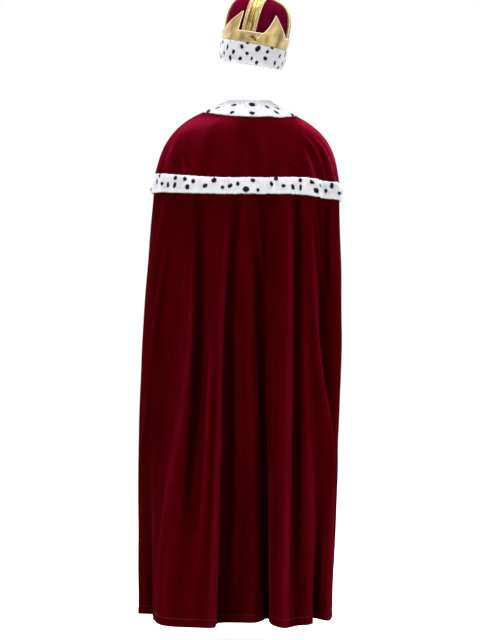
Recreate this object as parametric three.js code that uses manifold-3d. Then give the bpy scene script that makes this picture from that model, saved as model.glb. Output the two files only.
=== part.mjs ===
// A queen's dressing-up costume in the shape it takes when worn: a long velvet robe under a shoulder
// cape, both open at the front, with an ermine collar and an ermine band round the cape's hem, and
// the cloth crown that goes with it. Neck, hem, front and crown are open, and it is hollow.
// Millimetres, +Z up, +Y to the front, +X to the robe's right side. The origin is the middle of the
// neck opening, where the robe is held up.
import * as THREE from "three";
import { mergeVertices } from "three/addons/utils/BufferGeometryUtils.js";
import Module from "manifold-3d";

const wasm = await Module();
wasm.setup();

const DEGREE = Math.PI / 180;

// Walls and the clearances between pieces
const VELVET = 2; // pile and backing of the robe and of the cape
const PLUSH = 5; // ermine plush, pile included
const SEAM = 0.3; // between two pieces that are sewn or rest together
const CAPE_LIFT = 2; // how far the cape's hem hangs clear of the robe

// Distances down the cloth from the neck seam, along the middle of the back
const COLLAR_TOP = -9;
const NECK_SEAM = 0;
const COLLAR_EDGE = 62;
const BAND_TOP = 292;
const CAPE_HEM = 340;
const BAND_EDGE = 342;
const UPPER_LEVEL = 700; // where the folds are given between cape hem and robe hem
const LOWER_LEVEL = 1100;
const ROBE_HEM = 1514;
const HEM_Z = -1414;

// Cross-sections of the robe from neck to cape hem: half widths to the left and right, half depths
// to the back and the front, how square the outline is (2 is an ellipse), and the heights of its
// left, right, back and front.
const SECTION_COLUMNS = [
  "down", "left", "right", "back", "front", "square", "zLeft", "zRight", "zBack", "zFront",
];
const SECTIONS = table(SECTION_COLUMNS, [
  [COLLAR_TOP, 54, 54, 57, 56, 2.0, 17, 17, 12, -14],
  [NECK_SEAM, 60, 58, 62, 61, 2.0, 11, 12, 5, -21],
  [30, 90, 76, 80, 77, 2.05, -1, -2, -14, -42],
  [COLLAR_EDGE, 130, 105, 100, 95, 2.1, -15, -14, -36, -66],
  [110, 178, 156, 122, 115, 2.2, -42, -39, -74, -104],
  [160, 214, 199, 137, 128, 2.25, -77, -75, -116, -143],
  [205, 236, 224, 146, 137, 2.3, -112, -112, -154, -176],
  [250, 251, 239, 152, 143, 2.35, -153, -156, -187, -201],
  [BAND_TOP, 260, 247, 155, 146, 2.4, -188, -205, -212, -222],
  [CAPE_HEM, 267, 252, 158, 148, 2.4, -234, -255, -252, -258],
]);

// The lines of the robe's folds from the left front edge round the back to the right front edge,
// as seen in plan at four levels: the cape hem, two between, and the robe's own hem.
const LEVELS = [CAPE_HEM, UPPER_LEVEL, LOWER_LEVEL, ROBE_HEM];
const FOLD_LINES = [
  foldLine("left front edge", [-20, -38, -52, -60], [148, 157, 165, 170]),
  foldLine("left front valley", [-74, -88, -102, -110], [144, 140, 134, 128]),
  foldLine("left front ridge", [-124, -138, -152, -162], [139, 156, 168, 176]),
  foldLine("left front hollow", [-172, -182, -192, -200], [120, 114, 106, 98]),
  foldLine("left front corner", [-216, -228, -242, -252], [94, 108, 122, 130]),
  foldLine("left side valley", [-249, -258, -266, -266], [52, 52, 52, 50]),
  foldLine("left outline", [-267, -295, -311, -311], [0, 2, 2, 0]),
  foldLine("left back hollow", [-248, -274, -278, -269], [-56, -66, -54, -14]),
  foldLine("arm fold", [-218, -244, -252, -262], [-96, -104, -104, -92]),
  foldLine("elbow ridge", [-172, -178, -210, -236], [-134, -152, -164, -162]),
  foldLine("elbow valley", [-140, -134, -158, -192], [-141, -136, -160, -186]),
  foldLine("left pleat", [-113, -110, -124, -148], [-149, -160, -178, -193]),
  foldLine("left lobe edge", [-56, -80, -90, -98], [-155, -166, -186, -198]),
  foldLine("left recess", [-34, -62, -68, -84], [-154, -146, -138, -135]),
  foldLine("middle", [-12, -20, -20, -34], [-158, -156, -143, -128]),
  foldLine("middle right", [8, 8, 10, 16], [-157, -153, -140, -129]),
  foldLine("deep valley", [28, 28, 40, 48], [-153, -136, -102, -74]),
  foldLine("deep valley wall", [58, 60, 59, 58], [-151, -150, -150, -150]),
  foldLine("right lobe ridge", [103, 101, 96, 90], [-153, -168, -187, -199]),
  foldLine("right lobe valley", [134, 130, 126, 128], [-139, -140, -152, -168]),
  foldLine("right pleat", [150, 152, 160, 161], [-136, -142, -160, -154]),
  foldLine("late valley", [160, 166, 194, 176], [-131, -138, -124, -66]),
  foldLine("arm ridge", [172, 182, 225, 213], [-126, -134, -94, -101]),
  foldLine("arm valley", [192, 196, 234, 228], [-98, -96, -62, -54]),
  foldLine("right side", [232, 239, 243, 226], [-62, -66, -34, -26]),
  foldLine("right outline", [252, 259, 242, 220], [0, -4, 6, 10]),
  foldLine("right side valley", [233, 235, 218, 200], [54, 56, 56, 58]),
  foldLine("right front corner", [194, 200, 196, 192], [94, 108, 120, 130]),
  foldLine("right front hollow", [148, 152, 150, 146], [120, 112, 104, 96]),
  foldLine("right front ridge", [100, 108, 112, 114], [139, 156, 168, 176]),
  foldLine("right front valley", [50, 60, 66, 70], [144, 140, 134, 128]),
  foldLine("right front edge", [14, 22, 28, 34], [148, 157, 165, 170]),
];
const LAST_LINE = FOLD_LINES.length - 1;
const LEFT_SEAM = lineNamed("left outline");
const RIGHT_SEAM = lineNamed("right outline");

// How much lower than an even line three edges hang, at some of the fold lines: the collar reaches
// further over the right shoulder, and the band is a little higher at the back and dips on the right.
const SAG_LINES = [0, 6, 10, 14, 18, 21, 22.5, 25, 28, LAST_LINE];
const COLLAR_EDGE_SAG = [0, 0, 0, 0, 3, 13, 18, 25, 12, 0];
const BAND_TOP_SAG = [0, -1, -3, -5, -5, -3, 3, 8, 4, 0];
const BAND_EDGE_SAG = [0, 0, -3, -5, -5, -3, 0, 1, 0, 0];
const SAG_ENDS = [NECK_SEAM, COLLAR_EDGE, 170, BAND_TOP, CAPE_HEM, 400];

// Columns of faces between two fold lines, and the rows down the cloth
const COLUMNS_PER_LINE = 2;
const CAPE_ROWS = [NECK_SEAM, 30, COLLAR_EDGE, 95, 130, 170, 225, BAND_TOP, CAPE_HEM];
const SKIRT_ROWS = [400, 480, 580, 700, 820, 940, 1060, 1180, 1300, 1410, ROBE_HEM];
const ROBE_ROWS = [...CAPE_ROWS, ...SKIRT_ROWS];
const COLLAR_ROWS = [COLLAR_TOP, NECK_SEAM, 30, COLLAR_EDGE];
const BAND_ROWS = [BAND_TOP, BAND_EDGE];

// The crown, in its own frame: its underside's middle is the origin and +Z its axis
const CROWN_AT = new THREE.Vector3(5, 14, 129);
const CROWN_PITCH = 9 * DEGREE; // lower at the back
const CROWN_ROLL = 10.6 * DEGREE; // leans to the right
const CROWN_YAW = -10 * DEGREE; // its back arch is turned to the left
const HEAD_WIDTH = 93; // half sizes of the brim's outside
const HEAD_DEPTH = 106;
const BRIM_HEIGHT = 53;
const BRIM_SIDES = 36;
const ARCH_NAMES = ["back", "right", "front", "left"];
const ARCH_DRIFT = [-5, 0, 0, 0].map((turn) => turn * DEGREE); // at each arch's foot
const ARCH_WIDTH = 38;
const ARCH_THICK = 1.4;
const ARCH_LIFT = 0.5; // above the cap
const ARCH_MITRE = 43.5 * DEGREE; // half the angle that each arch takes at the top
const BRAID_WIDTH = 9;
const BRAID_HEIGHT = 3;
const POINT_VALLEY = 30; // gold strip above the brim, between the points
const POINT_RISE = 54;
const SLUMP = 6; // how far the strip has slumped at its left
const SLUMP_AT = 300; // degrees
const SLUMP_SPAN = 42;

// The gold points: bearings in degrees of each one's left foot, tip and right foot from the back
// arch round to the right, how hollow its two sides are (1 is straight), and how far its tip leans
// over to the right. The two at the back have sagged towards the arch; the two at the front stand
// as they were cut.
const POINT_COLUMNS = ["left", "tip", "right", "leftHollow", "rightHollow", "over"];
const POINTS = table(POINT_COLUMNS, [
  [20, 40, 71, 1.6, 1.05, 0],
  [109, 135, 161, 1.3, 1.3, 0],
  [199, 225, 251, 1.3, 1.3, 0],
  [297, 333, 339, 1.05, 1.2, 8],
]);
const POINT_STEPS = 4;
const FOIL = 1.5; // stiffened gold cloth
const FINIAL_RADIUS = 13;
const FINIAL_FOOT = 14;
const FINIAL_FOOT_HEIGHT = 2;
const FINIAL_SIDES = 16;
const FINIAL_START = -50 * DEGREE;

// The cap's outside as a share of the head's half sizes, and its height above the brim
const CAP_TOP = 129;
const CAP_PROFILE = [
  [0.93, 0.3], [0.935, 30], [0.93, 60], [0.89, 84], [0.81, 102],
  [0.67, 115], [0.48, 123], [0.27, 127.5], [0.12, CAP_TOP], [0, CAP_TOP],
];
const CAP_WALL = 2;
const CAP_SIDES = 36;
const ARCH_ROWS = [0, 1, 2, 3, 4, 5, 6, 7, 8]; // rows of the cap's profile that an arch follows
const DRIFT_ROWS = 5; // an arch's drift dies away over these rows
const BRAID_ROWS = ARCH_ROWS.slice(1); // a braid starts above the gold strip

// The fastening at the throat
const CLASP_DOWN = 34;
const CLASP_U = 0.75; // fold lines from the front edge to a plate's middle
const CLASP_RADIUS = 10;
const CLASP_THICK = 2.4;
const CLASP_SIDES = 20;
const CLASP_BAR = 2;
const CLASP_GAP = 0.6; // between the plush and the flat plates

const material = (name, color, roughness, metalness = 0) => {
  const made = new THREE.MeshStandardMaterial({ color, roughness, metalness });
  made.name = name;
  return made;
};
const velvet = material("velvet", 0x5e0518, 0.85);
const ermine = material("ermine", 0xf1eff4, 0.95);
const goldCloth = material("gold_cloth", 0xc9a75a, 0.4, 0.7);
const goldBraid = material("gold_braid", 0xc79b45, 0.5, 0.7);
const claspMetal = material("clasp_metal", 0xc9a24a, 0.3, 1);

function table(columns, rows) {
  return rows.map((row) => Object.fromEntries(columns.map((name, i) => [name, row[i]])));
}

function foldLine(name, x, y) {
  return { name, x, y };
}

function lineNamed(name) {
  return FOLD_LINES.findIndex((line) => line.name === name);
}

// Smooth curve through (xs, ys) that never swings past its points
function through(xs, ys, x) {
  const last = xs.length - 1;
  const slope = (i) => (ys[i + 1] - ys[i]) / (xs[i + 1] - xs[i]);
  const tangent = (i) => {
    if (i === 0) return slope(0);
    if (i === last) return slope(last - 1);
    const before = slope(i - 1);
    const after = slope(i);
    return before * after <= 0 ? 0 : (2 * before * after) / (before + after);
  };
  if (x <= xs[0]) return ys[0] + tangent(0) * (x - xs[0]);
  if (x >= xs[last]) return ys[last];
  let i = 0;
  while (x > xs[i + 1]) i++;
  const span = xs[i + 1] - xs[i];
  const t = (x - xs[i]) / span;
  const rise = ys[i + 1] - ys[i];
  const a = tangent(i) * span - rise;
  const b = rise - tangent(i + 1) * span;
  return ys[i] + t * rise + t * (1 - t) * ((1 - t) * a + t * b);
}

function sectionAt(down) {
  const depths = SECTIONS.map((row) => row.down);
  return Object.fromEntries(
    SECTION_COLUMNS.map((name) => [name, through(depths, SECTIONS.map((row) => row[name]), down)]),
  );
}

const ease = (t) => {
  const s = Math.min(1, Math.max(0, t));
  return s * s * (3 - 2 * s);
};

const power = (value, exponent) => Math.sign(value) * Math.abs(value) ** exponent;

// Where a fold line stands round the section, as the sine and cosine of an angle from the front
function bearing(line) {
  const s = sectionAt(CAPE_HEM);
  const across = power(line.x[0] / (line.x[0] < 0 ? s.left : s.right), s.square / 2);
  const along = power(line.y[0] / (line.y[0] < 0 ? s.back : s.front), s.square / 2);
  const size = Math.hypot(across, along);
  return { across: across / size, along: along / size };
}

// One fold line's point on a section above the cape hem
function shoulderPoint(line, down) {
  const s = sectionAt(down);
  const { across, along } = bearing(line);
  const x = power(across, 2 / s.square) * (across < 0 ? s.left : s.right);
  const y = power(along, 2 / s.square) * (along < 0 ? s.back : s.front);
  const zAcross = across < 0 ? s.zLeft : s.zRight;
  const zAlong = along < 0 ? s.zBack : s.zFront;
  return new THREE.Vector3(x, y, zAcross * across ** 2 + zAlong * along ** 2);
}

// One fold line's point at any distance down the cloth
function linePoint(line, down) {
  if (down > CAPE_HEM) {
    const start = shoulderPoint(line, CAPE_HEM).z;
    const fall = (down - CAPE_HEM) / (ROBE_HEM - CAPE_HEM);
    const z = start + (HEM_Z - start) * fall;
    return new THREE.Vector3(through(LEVELS, line.x, down), through(LEVELS, line.y, down), z);
  }
  const point = shoulderPoint(line, down);
  const share = ease((down - SECTIONS[5].down) / (CAPE_HEM - SECTIONS[5].down));
  point.x += (line.x[0] - shoulderPoint(line, CAPE_HEM).x) * share;
  point.y += (line.y[0] - shoulderPoint(line, CAPE_HEM).y) * share;
  return point;
}

// The robe's outside: u counts fold lines from the left front edge, down is along the cloth
const curves = new Map();
function robePoint(u, down) {
  if (!curves.has(down)) {
    const points = FOLD_LINES.map((line) => linePoint(line, down));
    curves.set(down, new THREE.CatmullRomCurve3(points, false, "centripetal"));
  }
  return curves.get(down).getPoint(Math.min(1, Math.max(0, u / LAST_LINE)));
}

// The same surface moved out by a distance
function robeOffset(u, down, out) {
  const du = 0.05;
  const dd = 2;
  const across = robePoint(u + du, down).sub(robePoint(u - du, down));
  const along = robePoint(u, Math.min(down + dd, ROBE_HEM)).sub(robePoint(u, down - dd));
  const normal = new THREE.Vector3().crossVectors(along, across).normalize();
  return robePoint(u, down).addScaledVector(normal, out);
}

// A row's distance down the cloth at a fold line, with the sag of the trims' edges
function settled(u, down) {
  const sags = [COLLAR_EDGE_SAG, BAND_TOP_SAG, BAND_EDGE_SAG].map((sag) => through(SAG_LINES, sag, u));
  return down + through(SAG_ENDS, [0, sags[0], 0, sags[1], sags[2], 0], down) * (down > NECK_SEAM);
}

// How far the cape's inside lies from the robe at a distance down the cloth
const capeInside = (down) => SEAM + CAPE_LIFT * ease((down - COLLAR_EDGE) / (CAPE_HEM - COLLAR_EDGE));
const capeOutside = (down) => capeInside(down) + VELVET;

// A closed wall between two grids of points, outer[row][column] and inner[row][column].
// A ring's columns run all the way round.
function wall(outer, inner, ring = false) {
  const rows = outer.length;
  const columns = outer[0].length;
  const points = [...outer.flat(), ...inner.flat()];
  const at = (row, column, face) => face * rows * columns + row * columns + (column % columns);
  const faces = [];
  const quad = (a, b, c, d) => faces.push(a, b, c, a, c, d);
  const steps = ring ? columns : columns - 1;
  for (let column = 0; column < steps; column++) {
    for (let row = 0; row < rows - 1; row++) {
      quad(at(row, column, 0), at(row + 1, column, 0), at(row + 1, column + 1, 0), at(row, column + 1, 0));
      quad(at(row, column, 1), at(row, column + 1, 1), at(row + 1, column + 1, 1), at(row + 1, column, 1));
    }
    const foot = rows - 1;
    quad(at(0, column, 0), at(0, column + 1, 0), at(0, column + 1, 1), at(0, column, 1));
    quad(at(foot, column, 0), at(foot, column, 1), at(foot, column + 1, 1), at(foot, column + 1, 0));
  }
  if (!ring) {
    for (let row = 0; row < rows - 1; row++) {
      const end = columns - 1;
      quad(at(row, 0, 0), at(row, 0, 1), at(row + 1, 0, 1), at(row + 1, 0, 0));
      quad(at(row, end, 0), at(row + 1, end, 0), at(row + 1, end, 1), at(row, end, 1));
    }
  }
  return closedGeometry(points, faces);
}

// Points and triangles as a geometry whose faces point out
function closedGeometry(points, faces) {
  const volume = (sum, _, i) => {
    if (i % 3) return sum;
    const [a, b, c] = [0, 1, 2].map((k) => points[faces[i + k]]);
    return sum + a.dot(new THREE.Vector3().crossVectors(b, c));
  };
  if (faces.reduce(volume, 0) < 0) faces.reverse();
  const geometry = new THREE.BufferGeometry().setFromPoints(points);
  geometry.setIndex(faces);
  geometry.computeVertexNormals();
  return geometry;
}

const spread = (from, to, steps) =>
  Array.from({ length: steps + 1 }, (_, i) => from + ((to - from) * i) / steps);

// A piece of cloth that follows the robe's form, from fold line uFrom to uTo, between the
// distances inside(down) and outside(down) from the robe. Its side edges keep half a seam's gap.
function clothPiece(uFrom, uTo, rows, inside, outside) {
  const us = spread(uFrom, uTo, Math.round((uTo - uFrom) * COLUMNS_PER_LINE));
  const face = (distance) =>
    rows.map((down) => {
      const row = us.map((u) => robeOffset(u, settled(u, down), distance(down)));
      const last = row.length - 1;
      row[0].add(row[1].clone().sub(row[0]).setLength(SEAM / 2));
      row[last].add(row[last - 1].clone().sub(row[last]).setLength(SEAM / 2));
      return row;
    });
  return wall(face(outside), face(inside));
}

function named(name, geometry, look) {
  const mesh = new THREE.Mesh(geometry, look);
  mesh.name = name;
  return mesh;
}

// The long robe: a back and two fronts, sewn at the sides
function robe() {
  const panel = (from, to) => clothPiece(from, to, ROBE_ROWS, () => -VELVET, () => 0);
  return [
    named("robe_left_front", panel(0, LEFT_SEAM), velvet),
    named("robe_back", panel(LEFT_SEAM, RIGHT_SEAM), velvet),
    named("robe_right_front", panel(RIGHT_SEAM, LAST_LINE), velvet),
  ];
}

// The shoulder cape with the ermine band round its hem, and the collar over both
function shoulders() {
  const plushOver = (down) => capeOutside(Math.min(down, CAPE_HEM)) + SEAM;
  const trim = (rows, thick) =>
    clothPiece(0, LAST_LINE, rows, plushOver, (down) => plushOver(down) + thick);
  return [
    named("cape", clothPiece(0, LAST_LINE, CAPE_ROWS, capeInside, capeOutside), velvet),
    named("cape_band", trim(BAND_ROWS, PLUSH), ermine),
    named("collar", trim(COLLAR_ROWS, PLUSH), ermine),
  ];
}

// A closed mesh as a solid that can be joined, and a solid as a geometry again
function solidOf(geometry) {
  const bare = geometry.clone();
  bare.deleteAttribute("normal");
  bare.deleteAttribute("uv");
  const merged = mergeVertices(bare, 1e-4);
  const vertProperties = Float32Array.from(merged.attributes.position.array);
  const triVerts = Uint32Array.from(merged.index.array);
  return new wasm.Manifold(new wasm.Mesh({ numProp: 3, vertProperties, triVerts }));
}

function geometryOf(solid) {
  const mesh = solid.getMesh();
  const geometry = new THREE.BufferGeometry();
  geometry.setAttribute("position", new THREE.BufferAttribute(mesh.vertProperties, 3));
  geometry.setIndex(new THREE.BufferAttribute(mesh.triVerts, 1));
  geometry.computeVertexNormals();
  return geometry;
}

// A cylinder between two points
function rod(from, to, radius, sides) {
  const span = to.clone().sub(from);
  const geometry = new THREE.CylinderGeometry(radius, radius, span.length(), sides);
  const middle = from.clone().add(to).multiplyScalar(0.5);
  const up = new THREE.Vector3(0, 1, 0);
  geometry.applyQuaternion(new THREE.Quaternion().setFromUnitVectors(up, span.normalize()));
  return geometry.translate(middle.x, middle.y, middle.z);
}

// The cloak clasp at the throat: a round plate on each front edge of the collar, and the hooked
// bar between them
function clasp() {
  const foot = capeOutside(CLASP_DOWN) + SEAM + PLUSH + CLASP_GAP;
  const above = (u, height) => robeOffset(u, CLASP_DOWN, foot + height);
  const plate = (u) => rod(above(u, 0), above(u, CLASP_THICK), CLASP_RADIUS, CLASP_SIDES);
  const left = CLASP_U;
  const right = LAST_LINE - CLASP_U;
  const bar = rod(above(left, CLASP_THICK), above(right, CLASP_THICK), CLASP_BAR, 8);
  const whole = solidOf(plate(left)).add(solidOf(plate(right))).add(solidOf(bar));
  return named("clasp", geometryOf(whole), claspMetal);
}

// A point of the brim's outline, moved out by a distance. The bearing 0 is the back.
function headPoint(bearing, out, z) {
  const x = Math.sin(bearing);
  const y = -Math.cos(bearing);
  const normal = new THREE.Vector2(x / HEAD_WIDTH, y / HEAD_DEPTH).normalize();
  return new THREE.Vector3(x * HEAD_WIDTH + normal.x * out, y * HEAD_DEPTH + normal.y * out, z);
}

// The crown's ermine brim, a padded ring
function brim() {
  const outside = [[-6, 0], [-4, 4], [-0.8, 26], [0, 48], [-2, BRIM_HEIGHT]];
  const inside = [[-11, 0], [-12, 4], [-10, 26], [-9.5, 48], [-8.5, BRIM_HEIGHT]];
  const bearings = spread(0, 2 * Math.PI, BRIM_SIDES).slice(1);
  const grid = (profile) => profile.map(([out, z]) => bearings.map((b) => headPoint(b, out, z)));
  return wall(grid(outside), grid(inside), true);
}

// The gold strip's top edge as bearings and heights above the brim, once round
function stripEdge() {
  const edge = [];
  POINTS.forEach((point, i) => {
    const valley = (bearing) => {
      const away = ((bearing - SLUMP_AT + 540) % 360) - 180;
      return POINT_VALLEY - SLUMP * Math.exp(-((away / SLUMP_SPAN) ** 2));
    };
    const side = (from, to, share) =>
      spread(from, to, POINT_STEPS).slice(1).forEach((bearing, k) =>
        edge.push({
          bearing: bearing * DEGREE,
          height: valley(bearing) + POINT_RISE * share((k + 1) / POINT_STEPS),
          over: point.over * DEGREE,
        }));
    const next = i + 1 < POINTS.length ? POINTS[i + 1].left : POINTS[0].left + 360;
    side(point.left, point.tip, (s) => s ** point.leftHollow);
    side(point.tip, point.right, (s) => (1 - s) ** point.rightHollow);
    side(point.right, next, () => 0);
  });
  return edge;
}

// The gold strip with its points, which flares to the valleys and leans in to the tips
function points() {
  const lean = (height) =>
    through([0, POINT_VALLEY, POINT_VALLEY + POINT_RISE], [-2.1, 1.5, -1.5], height);
  const edge = stripEdge();
  const shares = [1, 0.7, 0.35, 0];
  const grid = (inset) =>
    shares.map((share) =>
      edge.map(({ bearing, height, over }) => {
        const level = SEAM + share * (height - SEAM);
        const leant = bearing + (over * Math.max(0, level - POINT_VALLEY)) / POINT_RISE;
        return headPoint(leant, lean(level) - inset, BRIM_HEIGHT + level);
      }),
    );
  return wall(grid(0), grid(FOIL), true);
}

// The puffed velvet cap, an open-bottomed dome
function cap() {
  const outside = CAP_PROFILE.map(([share, z]) => new THREE.Vector2(share * HEAD_WIDTH, z));
  const inside = outside.map((point, i) =>
    new THREE.Vector2(Math.max(0, point.x - CAP_WALL), i ? point.y - CAP_WALL : point.y));
  const profile = [...inside].reverse().concat(outside);
  const dome = new THREE.LatheGeometry(profile, CAP_SIDES);
  dome.rotateX(Math.PI / 2);
  dome.scale(1, HEAD_DEPTH / HEAD_WIDTH, 1);
  dome.translate(0, 0, BRIM_HEIGHT);
  return dome;
}

// The cap's outside at a bearing and a row of its profile, moved out by a distance
function capPoint(bearing, row, out) {
  const [share, height] = CAP_PROFILE[row];
  const above = CAP_PROFILE[Math.min(row + 1, CAP_PROFILE.length - 1)];
  const below = CAP_PROFILE[Math.max(row - 1, 0)];
  const rim = headPoint(bearing, 0, 0);
  const along = rim.clone().multiplyScalar(above[0] - below[0]).setZ(above[1] - below[1]);
  const right = new THREE.Vector3(HEAD_WIDTH * Math.cos(bearing), HEAD_DEPTH * Math.sin(bearing), 0);
  const normal = new THREE.Vector3().crossVectors(right, along).normalize();
  return rim.multiplyScalar(share).setZ(BRIM_HEIGHT + height).addScaledVector(normal, out);
}

// A strip that lies over the cap, on the arch numbered `index`. Its middle is `side` to the right
// of the arch's middle line, and it reaches `half` to each side and from `low` to `high` above the
// cap. Near the top it narrows, so that four strips meet there edge to edge.
function overCap(index, rows, side, half, low, high, columns) {
  const angle = (index * 2 * Math.PI) / ARCH_NAMES.length;
  const grid = (out) =>
    rows.map((row) => {
      const across = HEAD_WIDTH * CAP_PROFILE[row][0] * Math.cos(angle);
      const along = HEAD_DEPTH * CAP_PROFILE[row][0] * Math.sin(angle);
      const reach = Math.hypot(across, along);
      const shrink = Math.min(1, (reach * Math.sin(ARCH_MITRE)) / (ARCH_WIDTH / 2));
      const drift = ARCH_DRIFT[index] * Math.max(0, 1 - row / DRIFT_ROWS);
      return spread(side - half, side + half, columns).map((offset) => {
        const bearing = Math.asin((offset * shrink) / reach) + Math.atan2(along, across) + drift;
        return capPoint(bearing, row, out);
      });
    });
  return wall(grid(high), grid(low));
}

// One arch: a gold strip from behind the points to the top, with a braid along each edge
function arch(name, index) {
  const top = ARCH_LIFT + ARCH_THICK;
  const foot = top + SEAM;
  const strip = overCap(index, ARCH_ROWS, 0, ARCH_WIDTH / 2, ARCH_LIFT, top, 4);
  const braidAt = (ARCH_WIDTH - BRAID_WIDTH) / 2;
  const braid = (side) =>
    overCap(index, BRAID_ROWS, side * braidAt, BRAID_WIDTH / 2, foot, foot + BRAID_HEIGHT, 2);
  return [
    named(`crown_arch_${name}`, strip, goldCloth),
    named(`crown_braid_${name}_left`, braid(-1), goldBraid),
    named(`crown_braid_${name}_right`, braid(1), goldBraid),
  ];
}

// The padded ball on its round foot, which covers the place where the arches meet
function finial() {
  const at = (radius, z) => new THREE.Vector2(radius, z);
  const profile = [at(0, 0), at(FINIAL_FOOT, 0), at(FINIAL_FOOT, FINIAL_FOOT_HEIGHT)];
  for (const turn of spread(FINIAL_START, 90 * DEGREE, 8).slice(0, -1)) {
    const rise = FINIAL_RADIUS * (Math.sin(turn) - Math.sin(FINIAL_START));
    profile.push(at(FINIAL_RADIUS * Math.cos(turn), FINIAL_FOOT_HEIGHT + SEAM + rise));
  }
  const top = FINIAL_RADIUS * (1 - Math.sin(FINIAL_START));
  profile.push(at(0, FINIAL_FOOT_HEIGHT + SEAM + top));
  const ball = new THREE.LatheGeometry(profile, FINIAL_SIDES);
  ball.rotateX(Math.PI / 2);
  const seat = CAP_TOP + ARCH_LIFT + ARCH_THICK + SEAM + BRAID_HEIGHT + SEAM;
  ball.translate(0, 0, BRIM_HEIGHT + seat);
  return ball;
}

function crown() {
  const group = new THREE.Group();
  group.add(named("crown_brim", brim(), ermine));
  group.add(named("crown_points", points(), goldCloth));
  group.add(named("crown_cap", cap(), velvet));
  group.add(...ARCH_NAMES.flatMap(arch));
  group.add(named("crown_finial", finial(), goldCloth));
  group.position.copy(CROWN_AT);
  group.rotation.set(CROWN_PITCH, CROWN_ROLL, CROWN_YAW);
  return group;
}

const costume = new THREE.Group();
costume.add(...robe(), ...shoulders(), clasp(), crown());
export default costume;
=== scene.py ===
import math

import bpy
import numpy as np
from mathutils import Matrix, Vector, noise


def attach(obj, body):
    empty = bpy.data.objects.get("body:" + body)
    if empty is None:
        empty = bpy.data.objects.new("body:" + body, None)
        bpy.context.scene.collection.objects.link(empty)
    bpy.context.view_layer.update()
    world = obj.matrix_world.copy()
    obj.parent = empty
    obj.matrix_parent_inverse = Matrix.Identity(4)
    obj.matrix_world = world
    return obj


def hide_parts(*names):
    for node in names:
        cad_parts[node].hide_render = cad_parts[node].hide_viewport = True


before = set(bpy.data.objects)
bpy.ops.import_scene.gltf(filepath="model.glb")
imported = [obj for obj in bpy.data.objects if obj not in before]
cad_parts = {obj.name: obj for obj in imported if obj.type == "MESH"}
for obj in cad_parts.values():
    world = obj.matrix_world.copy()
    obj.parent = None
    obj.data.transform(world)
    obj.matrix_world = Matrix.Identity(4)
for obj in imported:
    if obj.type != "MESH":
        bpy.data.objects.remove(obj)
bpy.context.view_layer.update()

MM = 0.001
TAU = 2 * math.pi

# The robe's form: how far down the cloth its edges lie, how thick it is, and the gaps in its seams
COLLAR_TOP = -9
NECK_SEAM = 0
COLLAR_EDGE = 62
BAND_TOP = 292
CAPE_HEM = 340
BAND_EDGE = 342
ROBE_HEM = 1514
HEM_Z = -1414
VELVET = 2.0
PLUSH = 5.0
SEAM = 0.3
CAPE_LIFT = 2.0  # how far the cape hangs off the robe at its hem
FOLDS_START = 160  # from here down the sections give way to the fold lines' own places

SECTION_COLUMNS = (
    "down", "left", "right", "back", "front", "square", "z_left", "z_right", "z_back", "z_front",
)
SECTIONS = np.array([
    (COLLAR_TOP, 54, 54, 57, 56, 2.0, 17, 17, 12, -14),
    (NECK_SEAM, 60, 58, 62, 61, 2.0, 11, 12, 5, -21),
    (30, 90, 76, 80, 77, 2.05, -1, -2, -14, -42),
    (COLLAR_EDGE, 130, 105, 100, 95, 2.1, -15, -14, -36, -66),
    (110, 178, 156, 122, 115, 2.2, -42, -39, -74, -104),
    (160, 214, 199, 137, 128, 2.25, -77, -75, -116, -143),
    (205, 236, 224, 146, 137, 2.3, -112, -112, -154, -176),
    (250, 251, 239, 152, 143, 2.35, -153, -156, -187, -201),
    (BAND_TOP, 260, 247, 155, 146, 2.4, -188, -205, -212, -222),
    (CAPE_HEM, 267, 252, 158, 148, 2.4, -234, -255, -252, -258),
], float)

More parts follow.
